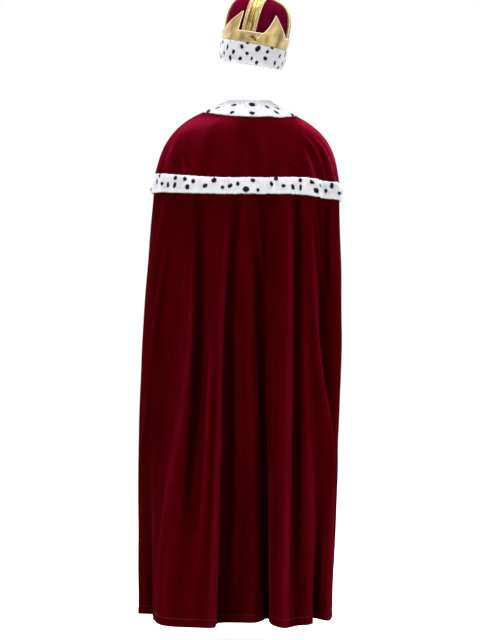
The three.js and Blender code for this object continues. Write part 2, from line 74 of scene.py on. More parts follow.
# Each fold line's x and y at four distances down the robe, from the left front edge round the back
LEVELS = (CAPE_HEM, 700, 1100, ROBE_HEM)
FOLD_LINES = (
    ("left front edge", (-20, -38, -52, -60), (148, 157, 165, 170)),
    ("left front valley", (-74, -88, -102, -110), (144, 140, 134, 128)),
    ("left front ridge", (-124, -138, -152, -162), (139, 156, 168, 176)),
    ("left front hollow", (-172, -182, -192, -200), (120, 114, 106, 98)),
    ("left front corner", (-216, -228, -242, -252), (94, 108, 122, 130)),
    ("left side valley", (-249, -258, -266, -266), (52, 52, 52, 50)),
    ("left outline", (-267, -295, -311, -311), (0, 2, 2, 0)),
    ("left back hollow", (-248, -274, -278, -269), (-56, -66, -54, -14)),
    ("arm fold", (-218, -244, -252, -262), (-96, -104, -104, -92)),
    ("elbow ridge", (-172, -178, -210, -236), (-134, -152, -164, -162)),
    ("elbow valley", (-140, -134, -158, -192), (-141, -136, -160, -186)),
    ("left pleat", (-113, -110, -124, -148), (-149, -160, -178, -193)),
    ("left lobe edge", (-56, -80, -90, -98), (-155, -166, -186, -198)),
    ("left recess", (-34, -62, -68, -84), (-154, -146, -138, -135)),
    ("middle", (-12, -20, -20, -34), (-158, -156, -143, -128)),
    ("middle right", (8, 8, 10, 16), (-157, -153, -140, -129)),
    ("deep valley", (28, 28, 40, 48), (-153, -136, -102, -74)),
    ("deep valley wall", (58, 60, 59, 58), (-151, -150, -150, -150)),
    ("right lobe ridge", (103, 101, 96, 90), (-153, -168, -187, -199)),
    ("right lobe valley", (134, 130, 126, 128), (-139, -140, -152, -168)),
    ("right pleat", (150, 152, 160, 161), (-136, -142, -160, -154)),
    ("late valley", (160, 166, 194, 176), (-131, -138, -124, -66)),
    ("arm ridge", (172, 182, 225, 213), (-126, -134, -94, -101)),
    ("arm valley", (192, 196, 234, 228), (-98, -96, -62, -54)),
    ("right side", (232, 239, 243, 226), (-62, -66, -34, -26)),
    ("right outline", (252, 259, 242, 220), (0, -4, 6, 10)),
    ("right side valley", (233, 235, 218, 200), (54, 56, 56, 58)),
    ("right front corner", (194, 200, 196, 192), (94, 108, 120, 130)),
    ("right front hollow", (148, 152, 150, 146), (120, 112, 104, 96)),
    ("right front ridge", (100, 108, 112, 114), (139, 156, 168, 176)),
    ("right front valley", (50, 60, 66, 70), (144, 140, 134, 128)),
    ("right front edge", (14, 22, 28, 34), (148, 157, 165, 170)),
)
LAST_LINE = len(FOLD_LINES) - 1
NAMES = [line[0] for line in FOLD_LINES]
LEFT_SEAM = NAMES.index("left outline")
RIGHT_SEAM = NAMES.index("right outline")
MIDDLE = NAMES.index("middle")

# How much lower than an even line three edges hang, at some of the fold lines
SAG_LINES = (0, 6, 10, 14, 18, 21, 22.5, 25, 28, LAST_LINE)
COLLAR_EDGE_SAG = (0, 0, 0, 0, 3, 13, 18, 25, 12, 0)
BAND_TOP_SAG = (0, -1, -3, -5, -5, -3, 3, 8, 4, 0)
BAND_EDGE_SAG = (0, 0, -3, -5, -5, -3, 0, 1, 0, 0)
SAG_ENDS = (NECK_SEAM, COLLAR_EDGE, 170, BAND_TOP, CAPE_HEM, 400)


def through(xs, ys, x):
    """Smooth curve through (xs, ys) that never swings past its points."""
    if x >= xs[-1]:
        return ys[-1]
    slopes = [(ys[i + 1] - ys[i]) / (xs[i + 1] - xs[i]) for i in range(len(xs) - 1)]
    inner = [0 if a * b <= 0 else 2 * a * b / (a + b) for a, b in zip(slopes, slopes[1:])]
    tangents = [slopes[0], *inner, slopes[-1]]
    if x <= xs[0]:
        return ys[0] + tangents[0] * (x - xs[0])
    i = max(k for k in range(len(xs) - 1) if x > xs[k] or k == 0)
    span = xs[i + 1] - xs[i]
    t = (x - xs[i]) / span
    rise = ys[i + 1] - ys[i]
    a = tangents[i] * span - rise
    b = rise - tangents[i + 1] * span
    return ys[i] + t * rise + t * (1 - t) * ((1 - t) * a + t * b)


def ease(t):
    s = np.clip(t, 0, 1)
    return s * s * (3 - 2 * s)


def power(value, exponent):
    return math.copysign(abs(value) ** exponent, value)


def section_at(down):
    return {name: through(SECTIONS[:, 0], SECTIONS[:, i], down) for i, name in enumerate(SECTION_COLUMNS)}


HEM_SECTION = section_at(CAPE_HEM)


def bearing(x, y):
    """Where a fold line stands round the section, as sine and cosine."""
    s = HEM_SECTION
    across = power(x / (s["left"] if x < 0 else s["right"]), s["square"] / 2)
    along = power(y / (s["back"] if y < 0 else s["front"]), s["square"] / 2)
    size = math.hypot(across, along)
    return across / size, along / size


BEARINGS = [bearing(xs[0], ys[0]) for name, xs, ys in FOLD_LINES]


def section_point(i, section):
    across, along = BEARINGS[i]
    side = "left" if across < 0 else "right"
    face = "back" if along < 0 else "front"
    return np.array((
        power(across, 2 / section["square"]) * section[side],
        power(along, 2 / section["square"]) * section[face],
        section["z_" + side] * across ** 2 + section["z_" + face] * along ** 2,
    ))


HEM_POINTS = [section_point(i, HEM_SECTION) for i in range(len(FOLD_LINES))]


def line_points(down):
    """The fold lines' points at one distance down the cloth."""
    rows = []
    section = section_at(min(down, CAPE_HEM))
    share = ease((down - FOLDS_START) / (CAPE_HEM - FOLDS_START))
    for i, (name, xs, ys) in enumerate(FOLD_LINES):
        if down > CAPE_HEM:
            top = HEM_POINTS[i][2]
            fall = (down - CAPE_HEM) / (ROBE_HEM - CAPE_HEM)
            rows.append((through(LEVELS, xs, down), through(LEVELS, ys, down), top + (HEM_Z - top) * fall))
        else:
            point = section_point(i, section)
            point[0] += (xs[0] - HEM_POINTS[i][0]) * share
            point[1] += (ys[0] - HEM_POINTS[i][1]) * share
            rows.append(point)
    return np.array(rows)


def spline(points, us):
    """Centripetal spline through the points, at positions counted in points."""
    padded = np.vstack((2 * points[0] - points[1], points, 2 * points[-1] - points[-2]))
    i = np.clip(np.floor(us).astype(int), 0, len(points) - 2)
    w = (us - i)[:, None]
    p0, p1, p2, p3 = (padded[i + k] for k in range(4))
    d0, d1, d2 = (np.sqrt(np.linalg.norm(b - a, axis=1))[:, None] for a, b in ((p0, p1), (p1, p2), (p2, p3)))
    t1 = ((p1 - p0) / d0 - (p2 - p0) / (d0 + d1) + (p2 - p1) / d1) * d1
    t2 = ((p2 - p1) / d1 - (p3 - p1) / (d1 + d2) + (p3 - p2) / d2) * d1
    c2 = -3 * p1 + 3 * p2 - 2 * t1 - t2
    c3 = 2 * p1 - 2 * p2 + t1 + t2
    return p1 + t1 * w + c2 * w ** 2 + c3 * w ** 3


LEVEL_STEP = 2.5
SHOULDER_LEVELS = np.arange(COLLAR_TOP - LEVEL_STEP, SAG_ENDS[-1] + 3 * LEVEL_STEP, LEVEL_STEP)
SHOULDER_LINES = [line_points(down) for down in SHOULDER_LEVELS]


def form(us, downs):
    """The robe's outside as a grid of points: a row for each distance down, with the edges' sag."""
    shoulder = np.array([spline(points, us) for points in SHOULDER_LINES])
    edges = (COLLAR_EDGE_SAG, BAND_TOP_SAG, BAND_EDGE_SAG)
    sags = list(zip(*([through(SAG_LINES, sag, u) for u in us] for sag in edges)))
    columns = np.arange(len(us))
    grid = np.empty((len(downs), len(us), 3))
    for r, down in enumerate(downs):
        if down >= SAG_ENDS[-1]:
            grid[r] = spline(line_points(down), us)
            continue
        sag = [through(SAG_ENDS, (0, a, 0, b, c, 0), down) * (down > NECK_SEAM) for a, b, c in sags]
        place = (down + np.array(sag) - SHOULDER_LEVELS[0]) / LEVEL_STEP
        below = place.astype(int)
        share = (place - below)[:, None]
        grid[r] = shoulder[below, columns] * (1 - share) + shoulder[below + 1, columns] * share
    return grid


def normals(grid):
    along = np.gradient(grid, axis=0)
    across = np.gradient(grid, axis=1)
    n = np.cross(along, across)
    return n / np.linalg.norm(n, axis=2, keepdims=True)


def arc(grid, start=0):
    """Distance along each row from a column."""
    steps = np.linalg.norm(np.diff(grid, axis=1), axis=2)
    length = np.concatenate((np.zeros((len(grid), 1)), np.cumsum(steps, axis=1)), axis=1)
    return length - length[:, start:start + 1]


# Meshes
def linked(obj):
    bpy.context.scene.collection.objects.link(obj)
    return obj


def new_object(name, verts, faces, look, smooth=True):
    mesh = bpy.data.meshes.new(name)
    mesh.from_pydata((np.asarray(verts, float) * MM).tolist(), [], faces)
    mesh.polygons.foreach_set("use_smooth", [smooth] * len(mesh.polygons))
    mesh.update()
    mesh.materials.append(look)
    return linked(bpy.data.objects.new(name, mesh))


def facing_out(obj):
    """A closed piece with its faces turned outwards, by the sign of its volume."""
    mesh = obj.data
    mesh.calc_loop_triangles()
    points = np.empty(len(mesh.vertices) * 3)
    mesh.vertices.foreach_get("co", points)
    corners = np.empty(len(mesh.loop_triangles) * 3, int)
    mesh.loop_triangles.foreach_get("vertices", corners)
    a, b, c = points.reshape(-1, 3)[corners.reshape(-1, 3)].transpose(1, 0, 2)
    if np.einsum("ij,ij->i", a, np.cross(b, c)).sum() < 0:
        mesh.flip_normals()
    return obj


def wall_faces(rows, columns, ring=False):
    """Faces of a closed wall between two grids of rows x columns points, outer then inner."""
    faces = []
    half = rows * columns

    def at(r, c, inner):
        return inner * half + r * columns + c % columns

    for c in range(columns if ring else columns - 1):
        for r in range(rows - 1):
            faces.append((at(r, c, 0), at(r + 1, c, 0), at(r + 1, c + 1, 0), at(r, c + 1, 0)))
            faces.append((at(r, c, 1), at(r, c + 1, 1), at(r + 1, c + 1, 1), at(r + 1, c, 1)))
        foot = rows - 1
        faces.append((at(0, c, 0), at(0, c + 1, 0), at(0, c + 1, 1), at(0, c, 1)))
        faces.append((at(foot, c, 0), at(foot, c, 1), at(foot, c + 1, 1), at(foot, c + 1, 0)))
    if not ring:
        end = columns - 1
        for r in range(rows - 1):
            faces.append((at(r, 0, 0), at(r, 0, 1), at(r + 1, 0, 1), at(r + 1, 0, 0)))
            faces.append((at(r, end, 0), at(r + 1, end, 0), at(r + 1, end, 1), at(r, end, 1)))
    return faces


def wall(name, outer, inner, look, ring=False):
    """A closed wall, faces out. outer and inner are grids [row][column]."""
    rows, columns = outer.shape[:2]
    verts = np.concatenate((outer.reshape(-1, 3), inner.reshape(-1, 3)))
    return facing_out(new_object(name, verts, wall_faces(rows, columns, ring), look))


def skin(name, rings, look):
    """A closed skin through rings of points, with a flat face at each end."""
    count, sides = rings.shape[:2]
    faces = [
        (r * sides + k, r * sides + (k + 1) % sides, (r + 1) * sides + (k + 1) % sides, (r + 1) * sides + k)
        for r in range(count - 1) for k in range(sides)
    ]
    faces.append(tuple(reversed(range(sides))))
    faces.append(tuple(range((count - 1) * sides, count * sides)))
    return facing_out(new_object(name, rings.reshape(-1, 3), faces, look))


def carry(obj, slot, *nodes):
    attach(obj, "root")
    if nodes:
        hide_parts(*nodes)
    return obj


def trimmed(grid):
    """The grid with half a seam's gap left at each side edge."""
    out = grid.copy()
    for edge, inward in ((0, 1), (-1, -2)):
        step = grid[:, inward] - grid[:, edge]
        out[:, edge] += step / np.linalg.norm(step, axis=1, keepdims=True) * SEAM / 2
    return out


def area_of(grid):
    """Area of the surface through a grid of points, in square metres."""
    a, b, c, d = grid[:-1, :-1], grid[:-1, 1:], grid[1:, 1:], grid[1:, :-1]
    halves = np.linalg.norm(np.cross(b - a, c - a), axis=2) + np.linalg.norm(np.cross(c - a, d - a), axis=2)
    return float(halves.sum()) / 2 * MM * MM


NOISE_REACH = 1.6  # brings Blender's noise to a swing of about 1


def soft_noise(grid, size, seed):
    """Low uneven swells, from -1 to 1, about a size in millimetres across."""
    values = [noise.noise(Vector(p / size) + Vector((seed, 0, 0))) for p in grid.reshape(-1, 3)]
    return np.array(values).reshape(grid.shape[:2]) * NOISE_REACH


# Folds and creases
LEVEL_SHADE = 0.5  # the hollow mark of cloth that lies level
# How far to each side the level of the cloth is taken, and the depth under it that counts as full
ROBE_HOLLOWS = ((60, 130), (15, 6.5))
CAPE_HOLLOWS = ((60, 130), (15, 12))
GOLD_HOLLOWS = ((6, 3.2),)

# Patches of painted shade on the pile, or of painted light where the last number is negative: fold
# line, distance down, and how far across in fold lines and down it spreads
ROBE_PAINTED_LIGHT_AND_SHADE = (
    (14.2, 1120, 1.6, 560, 0.24), (15.6, 620, 1.6, 330, 0.10), (16.9, 1250, 0.8, 420, 0.12),
    (23.6, 700, 1.6, 420, 0.16), (19.6, 700, 0.9, 400, 0.12), (20.6, 1380, 0.8, 260, -0.06),
    (10.6, 500, 1.6, 260, 0.06), (10.7, 1330, 1.1, 240, -0.05), (8.6, 1420, 0.9, 160, -0.04),
    (7.6, 860, 0.8, 260, 0.10), (18.2, 1000, 0.35, 700, -0.12), (9.3, 900, 0.3, 520, -0.08),
    (12.3, 1000, 0.25, 560, -0.08), (27.5, 900, 1.8, 460, 0.12), (3.4, 1000, 1.6, 420, 0.1),
)
# The cape's: painted sheen on its shoulders where the last number is negative, and faint painted shade
CAPE_PAINTED_SHEEN_AND_SHADE = (
    (9.6, 86, 3.2, 26, -0.16), (8.2, 122, 1.4, 34, -0.14), (7.0, 190, 0.9, 80, -0.14),
    (21.6, 84, 1.8, 20, -0.1), (23.8, 118, 0.9, 46, -0.22), (24.6, 200, 0.9, 90, -0.26),
    (15.5, 210, 5.5, 60, 0.03), (28, 180, 2, 60, 0.05), (3, 180, 2, 60, 0.05),
)


def painted_patches(us, downs, patches):
    """How much painted shade each point of the robe or the cape takes from the patches, or painted light
    where it is negative.
    """
    shade = np.zeros((len(downs), len(us)))
    for at, down, across, along, amount in patches:
        shade += amount * np.exp(-((us[None] - at) / across) ** 2 - ((downs[:, None] - down) / along) ** 2)
    return shade


def hollows(grid, scales, lowest=0):
    """How deep each point lies in a fold, from 0 or less on a ridge to 1 in a valley."""
    n = normals(grid)
    length = arc(grid)
    shade = np.full(grid.shape[:2], LEVEL_SHADE)
    for span, depth in scales:
        for r, row in enumerate(grid):
            weight = np.exp(-((length[r][:, None] - length[r][None]) / span) ** 2)
            level = weight @ row / weight.sum(axis=1, keepdims=True)
            shade[r] += np.einsum("ij,ij->i", level - row, n[r]) / depth
    return np.clip(shade, lowest, 1)


def give(mesh, name, values):
    attribute = mesh.attributes.new(name, "FLOAT", "POINT")
    attribute.data.foreach_set("value", np.asarray(values, float).ravel())


def shaded(cloth, hollow):
    """Marks how deep each point of a wall lies in a fold, for its painted light and shade, the same on its
    outside and inside.
    """
    give(cloth.data, "hollow", np.tile(hollow.ravel(), 2))


# Creases of the robe's skirt and of the cape. The u columns count fold lines, and start and stop are
# distances down the cloth. A crease stands out where its height is above 0 and sinks in where it is
# below 0, falls away over left and right, in millimetres, and bows to one side by bow fold lines.
CREASE_COLUMNS = ("name", "u_top", "u_foot", "bow", "start", "stop", "height", "left", "right")
SKIRT_CREASES = (
    ("left outline, top", 7.7, 7.3, 0, 330, 500, 4.5, 8, 12),
    ("left outline, middle", 8.1, 7.2, 0.15, 460, 800, 5.5, 12, 6),
    ("left outline, low", 7.0, 6.5, 0, 840, 1100, 4.5, 12, 7),
    ("left outline, foot", 7.6, 7.9, 0, 1240, 1560, 3.5, 14, 9),
    ("elbow ridge, top", 9.5, 9.2, 0, 400, 1020, 5, 7, 16),
    ("elbow ridge, foot", 9.25, 8.5, -0.1, 900, 1420, 6, 6, 16),
    ("elbow trough", 9.9, 9.9, 0, 520, 1300, -4.5, 12, 14),
    ("left pleat", 11.3, 11.0, 0, 640, 1380, 5, 9, 8),
    ("left pleat trough", 11.7, 11.5, 0, 700, 1514, -3.5, 8, 8),
    ("left lobe line", 12.5, 12.2, -0.1, 330, 1460, 5.5, 16, 6),
    ("recess trough", 13.2, 13.3, 0, 560, 1560, -6, 12, 16),
    ("middle flare", 15.4, 16.3, 0, 330, 600, 4, 9, 6),
    ("middle ridge", 14.4, 14.7, 0.1, 420, 1000, 3, 14, 12),
    ("deep valley", 15.9, 16.4, 0.1, 560, 1700, -8, 12, 9),
    ("valley lip", 17.1, 17.1, 0, 640, 1560, 3, 8, 10),
    ("right lobe ridge", 18.25, 18.2, -0.05, 200, 1700, 6.5, 6, 12),
    ("right lobe trough", 18.9, 18.9, 0, 420, 1300, -4.5, 12, 12),
    ("right pleat, low", 20.3, 20.3, -0.1, 1020, 1700, 5, 8, 10),
    ("right pleat, high", 20.3, 20.1, 0, 330, 700, 3, 12, 12),
    ("late ridge", 21.4, 21.5, 0, 1160, 1560, 4, 7, 9),
    ("overlapping edge, top", 21.2, 22.0, 0.15, 330, 860, 7, 14, 4),
    ("overlapping edge, foot", 21.8, 23.6, -0.2, 760, 1240, 6, 14, 4),
    ("second edge", 22.2, 23.2, 0, 320, 600, 4.5, 8, 5),
    ("dark hollow", 23.5, 23.5, 0, 300, 620, -7, 10, 9),
    ("right side soft", 24.3, 24.1, 0.1, 560, 1000, 3.5, 16, 16),
    ("right side soft, lower", 24.2, 23.9, 0, 960, 1500, 3, 14, 18),
    ("right front pull", 26.6, 26.9, 0.2, 350, 840, 4, 14, 12),
    ("right front ridge", 29.0, 29.1, 0, 380, 1560, 4, 10, 14),
    ("right front trough", 28.1, 28.0, 0.1, 520, 1250, -4.5, 14, 12),
    ("right edge ripple", 30.4, 30.5, 0, 640, 1300, 3, 12, 14),
    ("left front ridge", 2.0, 1.9, 0.1, 360, 1560, 4, 12, 10),
    ("left front trough", 3.0, 3.1, 0, 600, 1380, -4.5, 12, 14),
    ("left front pull", 4.5, 4.2, 0.2, 340, 900, 4, 12, 14),
    ("left edge ripple", 0.6, 0.5, 0, 740, 1420, 3, 14, 12),
    ("left side soft", 5.3, 5.2, 0.1, 420, 1100, 3.5, 16, 14),
)
CAPE_CREASES = (
    ("right shoulder pull", 22.6, 23.5, 0, 140, 330, 7, 10, 4),
    ("right shoulder pull, outer", 23.2, 24.6, 0, 140, 400, 8, 12, 5),
    ("right shoulder pull, inner", 21.7, 22.7, 0, 180, 400, 6, 10, 5),
    ("right arm step", 22.9, 22.5, 0, 230, 420, 5, 12, 4),
    ("left shoulder fold", 8.3, 9.8, 0, 200, 420, 3.5, 12, 8),
    ("left band fold", 9.7, 9.9, 0, 262, 420, 3.6, 4.5, 9),
    ("left shoulder outer", 7.6, 7.4, 0.1, 140, 420, 3.5, 14, 16),
    ("middle fold", 16.9, 16.1, 0, 110, 330, 2.5, 14, 20),
    ("right band fold", 17.2, 17.3, 0, 262, 420, 4.2, 9, 4),
    ("smile crease", 18.2, 19.6, 0.2, 226, 262, 2.5, 5, 5),
    ("right front pull", 27.2, 27.6, 0.1, 90, 400, 4, 10, 14),
    ("right front soft", 29.3, 29.1, 0, 130, 400, 3.5, 14, 12),
    ("left front pull", 4.2, 3.8, 0.1, 100, 400, 4, 14, 10),
    ("left front soft", 1.9, 2.1, 0, 140, 400, 3.5, 12, 14),
)
CREASE_FADE = 0.3  # share of a crease's length over which each end dies away
CREASE_REACH = 0.5  # how many fold lines past a panel's side edge a crease still shows on it


def creased(us, downs, grid, creases):
    """How far each point of a grid is moved out by the creases."""
    length = arc(grid)
    moved = np.zeros(grid.shape[:2])
    for row in creases:
        c = dict(zip(CREASE_COLUMNS, row))
        share = (downs - c["start"]) / (c["stop"] - c["start"])
        fade = ease(share / CREASE_FADE) * ease((1 - share) / CREASE_FADE)
        line = c["u_top"] + (c["u_foot"] - c["u_top"]) * share + 4 * c["bow"] * share * (1 - share)
        if not us[0] - CREASE_REACH < c["u_top"] < us[-1] + CREASE_REACH:
            continue
        for r in np.nonzero(fade > 0)[0]:
            away = length[r] - np.interp(line[r], us, length[r])
            wide = np.where(away < 0, c["left"], c["right"])
            moved[r] += c["height"] * fade[r] * np.exp(-(away / wide) ** 2)
    return moved


# Materials
def mat(name):
    look = bpy.data.materials.new(name)
    look.use_nodes = True
    return look, look.node_tree, look.node_tree.nodes["Principled BSDF"]


def set_sockets(shader, **values):
    for label, value in values.items():
        shader.inputs[label.replace("_", " ")].default_value = value


def feed(tree, socket, value):
    """Gives a socket its value, or another node's output."""
    if isinstance(value, bpy.types.NodeSocket):
        tree.links.new(value, socket)
    else:
        socket.default_value = value


def node(tree, kind, settings=None, **inputs):
    """A node with its settings, and its inputs given as values or as other nodes' outputs."""
    made = tree.nodes.new(kind)
    for key, value in (settings or {}).items():
        setattr(made, key, value)
    for label, value in inputs.items():
        wanted = label.replace("_", " ")
        feed(tree, next(s for s in made.inputs if s.name == wanted and s.enabled), value)
    return made


def live(made):
    """The first output that a node's settings leave in use."""
    return next(s for s in made.outputs if s.enabled)


def object_point(tree, scale=(1, 1, 1)):
    """Object coordinates, stretched."""
    where = node(tree, "ShaderNodeTexCoord")
    return node(tree, "ShaderNodeMapping", Scale=scale, Vector=where.outputs["Object"]).outputs["Vector"]


def mark_of(tree, name):
    """A number that the mesh carries at each of its points."""
    return node(tree, "ShaderNodeAttribute", {"attribute_name": name}).outputs["Fac"]


def noise_of(tree, point, scale, detail=3, rough=0.55):
    texture = node(tree, "ShaderNodeTexNoise", Vector=point, Scale=scale, Detail=detail, Roughness=rough)
    return texture.outputs["Fac"]


def ramp_of(tree, fac, *stops):
    """A colour ramp with (place, colour) stops."""
    ramp = node(tree, "ShaderNodeValToRGB", Fac=fac)
    elements = ramp.color_ramp.elements
    while len(elements) < len(stops):
        elements.new(0.5)
    for element, (place, colour) in zip(elements, stops):
        element.position = place
        element.color = (*colour, 1)
    return ramp.outputs["Color"]


def mix_of(tree, fac, a, b, blend="MIX"):
    """Two colours mixed."""
    mix = node(tree, "ShaderNodeMix", {"data_type": "RGBA", "blend_type": blend}, Factor=fac, A=a, B=b)
    return live(mix)


def range_of(tree, fac, low, high):
    return node(tree, "ShaderNodeMapRange", Value=fac, To_Min=low, To_Max=high).outputs["Result"]


def bump_of(tree, height, strength, distance, **under):
    bump = node(tree, "ShaderNodeBump", Height=height, Strength=strength, Distance=distance, **under)
    return bump.outputs["Normal"]


# Painted light and shade on the pile, by how deep it lies in a fold: a painted sheen at the first stop, a
# painted highlight on a ridge, and painted shade in a valley
PAINTED_FOLD_SHADES = (
    (0.0, (5.0, 20, 25)),
    (0.14, (1.8, 3, 5.5)),
    (0.3, (1.05, 1, 1.5)),
    (0.5, (0.85, 0.8, 0.8)),
    (0.9, (0.35, 0.3, 0.3)),
)
# The same painted highlight and shade for gold cloth
FOIL_SHADES = (
    (0.25, (1.2, 1.2, 1.2)),
    (0.5, (0.85, 0.83, 0.8)),
    (0.7, (0.16, 0.13, 0.07)),
)
# The robe's painted ridge highlight is held back, so that only a crest is painted light: from how deep a
# point lies to the hollow mark that it takes
RIDGE_PAINTED_HIGHLIGHT = ((-0.8, -0.3, 0, 0.18, 0.35, 1.5), (0.135, 0.17, 0.215, 0.27, 0.35, 1.5))
CAPE_PAINTED_LIGHT = 0.17  # painted light all over the cape, because it slopes up towards the lamps
CAPE_LIGHTEST = 0.12  # the least hollow mark on the cape, which keeps its painted ridge highlights faint, before its painted patches


def velvet_look(name, dark, light, sheen):
    """Pile cloth: a deep colour that shifts where the nap lies another way, painted light and shade by its
    hollow mark, and a coloured sheen.
    """
    look, tree, shader = mat(name)
    swell = noise_of(tree, object_point(tree, (1, 1, 0.22)), scale=19, detail=4, rough=0.6)
    brushed = noise_of(tree, object_point(tree, (1, 1, 0.5)), scale=160)
    pile = noise_of(tree, object_point(tree), scale=1500, detail=2)
    colour = ramp_of(tree, swell, (0.3, dark), (0.72, light))
    streak = ramp_of(tree, brushed, (0.3, (0.86, 0.86, 0.86)), (0.75, (1.1, 1.1, 1.1)))
    # painted highlight on ridges, painted sheen and painted shade in valleys, from the hollow mark
    fold = ramp_of(tree, mark_of(tree, "hollow"), *PAINTED_FOLD_SHADES)
    streaked = mix_of(tree, 1.0, colour, streak, "MULTIPLY")
    feed(tree, shader.inputs["Base Color"], mix_of(tree, 1.0, streaked, fold, "MULTIPLY"))
    feed(tree, shader.inputs["Roughness"], range_of(tree, brushed, 0.78, 0.98))
    under = bump_of(tree, brushed, strength=0.25, distance=0.0012)
    feed(tree, shader.inputs["Normal"], bump_of(tree, pile, strength=0.5, distance=0.0004, Normal=under))
    set_sockets(shader, Sheen_Weight=1.0, Sheen_Roughness=0.27, Sheen_Tint=(*sheen, 1))
    set_sockets(shader, Specular_IOR_Level=0.0)
    return look


def ermine_look():
    """White plush with dark spots, from the spot attribute."""
    look, tree, shader = mat("ermine_plush")
    point = object_point(tree)
    cloud = noise_of(tree, point, scale=45)
    fibre = noise_of(tree, point, scale=900, detail=2)
    white = ramp_of(tree, cloud, (0.3, (0.70, 0.70, 0.73)), (0.7, (0.765, 0.765, 0.78)))
    black = ramp_of(tree, fibre, (0.3, (0.004, 0.004, 0.006)), (0.75, (0.02, 0.02, 0.028)))
    edge = ramp_of(tree, mark_of(tree, "spot"), (0.42, (0, 0, 0)), (0.58, (1, 1, 1)))
    feed(tree, shader.inputs["Base Color"], mix_of(tree, edge, white, black))
    feed(tree, shader.inputs["Roughness"], range_of(tree, fibre, 0.8, 1.0))
    feed(tree, shader.inputs["Normal"], bump_of(tree, fibre, strength=0.4, distance=0.0008))
    set_sockets(shader, Sheen_Weight=0.06, Sheen_Roughness=0.5, Sheen_Tint=(1, 1, 1, 1))
    set_sockets(shader, Specular_IOR_Level=0.04)
    return look


def lame_look(name, dark, light, roughness, metal):
    """Gold lame: a fine ribbed weave that throws broad soft patches of light, and painted highlight and shade
    by how deep it lies in a fold.
    """
    look, tree, shader = mat(name)
    point = object_point(tree)
    patch = noise_of(tree, point, scale=42)
    crumple = noise_of(tree, point, scale=150, detail=2)
    weave = node(tree, "ShaderNodeTexWave", {"bands_direction": "Z"},
                 Vector=point, Scale=420, Distortion=1.5, Detail=1)
    # painted highlight on ridges and painted shade in folds, from the hollow mark
    fold = ramp_of(tree, mark_of(tree, "hollow"), *FOIL_SHADES)
    colour = ramp_of(tree, patch, (0.3, dark), (0.7, light))
    feed(tree, shader.inputs["Base Color"], mix_of(tree, 1.0, colour, fold, "MULTIPLY"))
    feed(tree, shader.inputs["Roughness"], range_of(tree, crumple, roughness - 0.08, roughness + 0.12))
    under = bump_of(tree, crumple, strength=0.35, distance=0.002)
    ribs = bump_of(tree, weave.outputs["Fac"], strength=0.3, distance=0.0003, Normal=under)
    feed(tree, shader.inputs["Normal"], ribs)
    set_sockets(shader, Metallic=metal, Sheen_Weight=0.3, Sheen_Roughness=0.4, Sheen_Tint=(1, 0.84, 0.5, 1))
    return look


def thread_look(name, dark, light, roughness, metal):
    """Twisted thread, and brushed brass: colour and roughness that change over short distances."""
    look, tree, shader = mat(name)
    point = object_point(tree)
    tone = noise_of(tree, point, scale=320, detail=2)
    twist = noise_of(tree, point, scale=1400, detail=1)
    feed(tree, shader.inputs["Base Color"], ramp_of(tree, tone, (0.3, dark), (0.7, light)))
    feed(tree, shader.inputs["Roughness"], range_of(tree, twist, roughness - 0.08, roughness + 0.1))
    feed(tree, shader.inputs["Normal"], bump_of(tree, twist, strength=0.3, distance=0.0003))
    set_sockets(shader, Metallic=metal)
    return look


ROBE_VELVET = velvet_look(
    "burgundy_velvet",
    dark=(0.026, 0.00014, 0.0005), light=(0.041, 0.0003, 0.001), sheen=(0.10, 0.005, 0.014),
)
CAP_VELVET = velvet_look(
    "crown_cap_velvet",
    dark=(0.040, 0.0005, 0.003), light=(0.070, 0.0010, 0.008), sheen=(0.14, 0.004, 0.03),
)
ERMINE = ermine_look()
GOLD_CLOTH = lame_look("gold_lame", (0.22, 0.145, 0.045), (0.44, 0.325, 0.12), 0.42, 0.45)
ARCH_CLOTH = lame_look("yellow_gold_lame", (0.19, 0.12, 0.018), (0.54, 0.385, 0.075), 0.38, 0.5)
BRAID_GROUND = thread_look("gold_braid_ground", (0.07, 0.047, 0.013), (0.15, 0.10, 0.03), 0.6, 0.2)
PIPING = thread_look("pale_gold_piping", (0.50, 0.34, 0.21), (0.70, 0.54, 0.39), 0.45, 0.1)
GOLD_BRAID = thread_look("gold_braid", (0.45, 0.33, 0.14), (0.82, 0.66, 0.36), 0.34, 0.4)
CLASP_BRASS = thread_look("clasp_brass", (0.26, 0.17, 0.055), (0.44, 0.31, 0.12), 0.42, 0.9)
RED_THREAD = thread_look("burgundy_thread", (0.06, 0.001, 0.01), (0.12, 0.004, 0.02), 0.6, 0)


# Geometry Nodes
def new_tree(name, sizes):
    """A tree with a Base geometry in, a Result out, and a named number for each size."""
    tree = bpy.data.node_groups.new(name, "GeometryNodeTree")
    tree.interface.new_socket("Base", in_out="INPUT", socket_type="NodeSocketGeometry")
    for label, value in sizes.items():
        kind = "NodeSocketInt" if isinstance(value, int) else "NodeSocketFloat"
        tree.interface.new_socket(label, in_out="INPUT", socket_type=kind).default_value = value
    tree.interface.new_socket("Result", in_out="OUTPUT", socket_type="NodeSocketGeometry")
    return tree, tree.nodes.new("NodeGroupInput"), tree.nodes.new("NodeGroupOutput")


def combined(tree, kind, operation, first, second):
    """Two numbers or two vectors put together by a sum or a product."""
    made = node(tree, kind, {"operation": operation})
    for socket, value in zip(made.inputs, (first, second)):
        feed(tree, socket, value)
    return made.outputs[0]


def finished(tree, goal, geometry, look):
    """Ends a tree: instances made real, and one material."""
    real = node(tree, "GeometryNodeRealizeInstances", Geometry=geometry)
    painted = node(tree, "GeometryNodeSetMaterial", Geometry=real.outputs[0], Material=look)
    tree.links.new(painted.outputs[0], goal.inputs["Result"])
    return tree


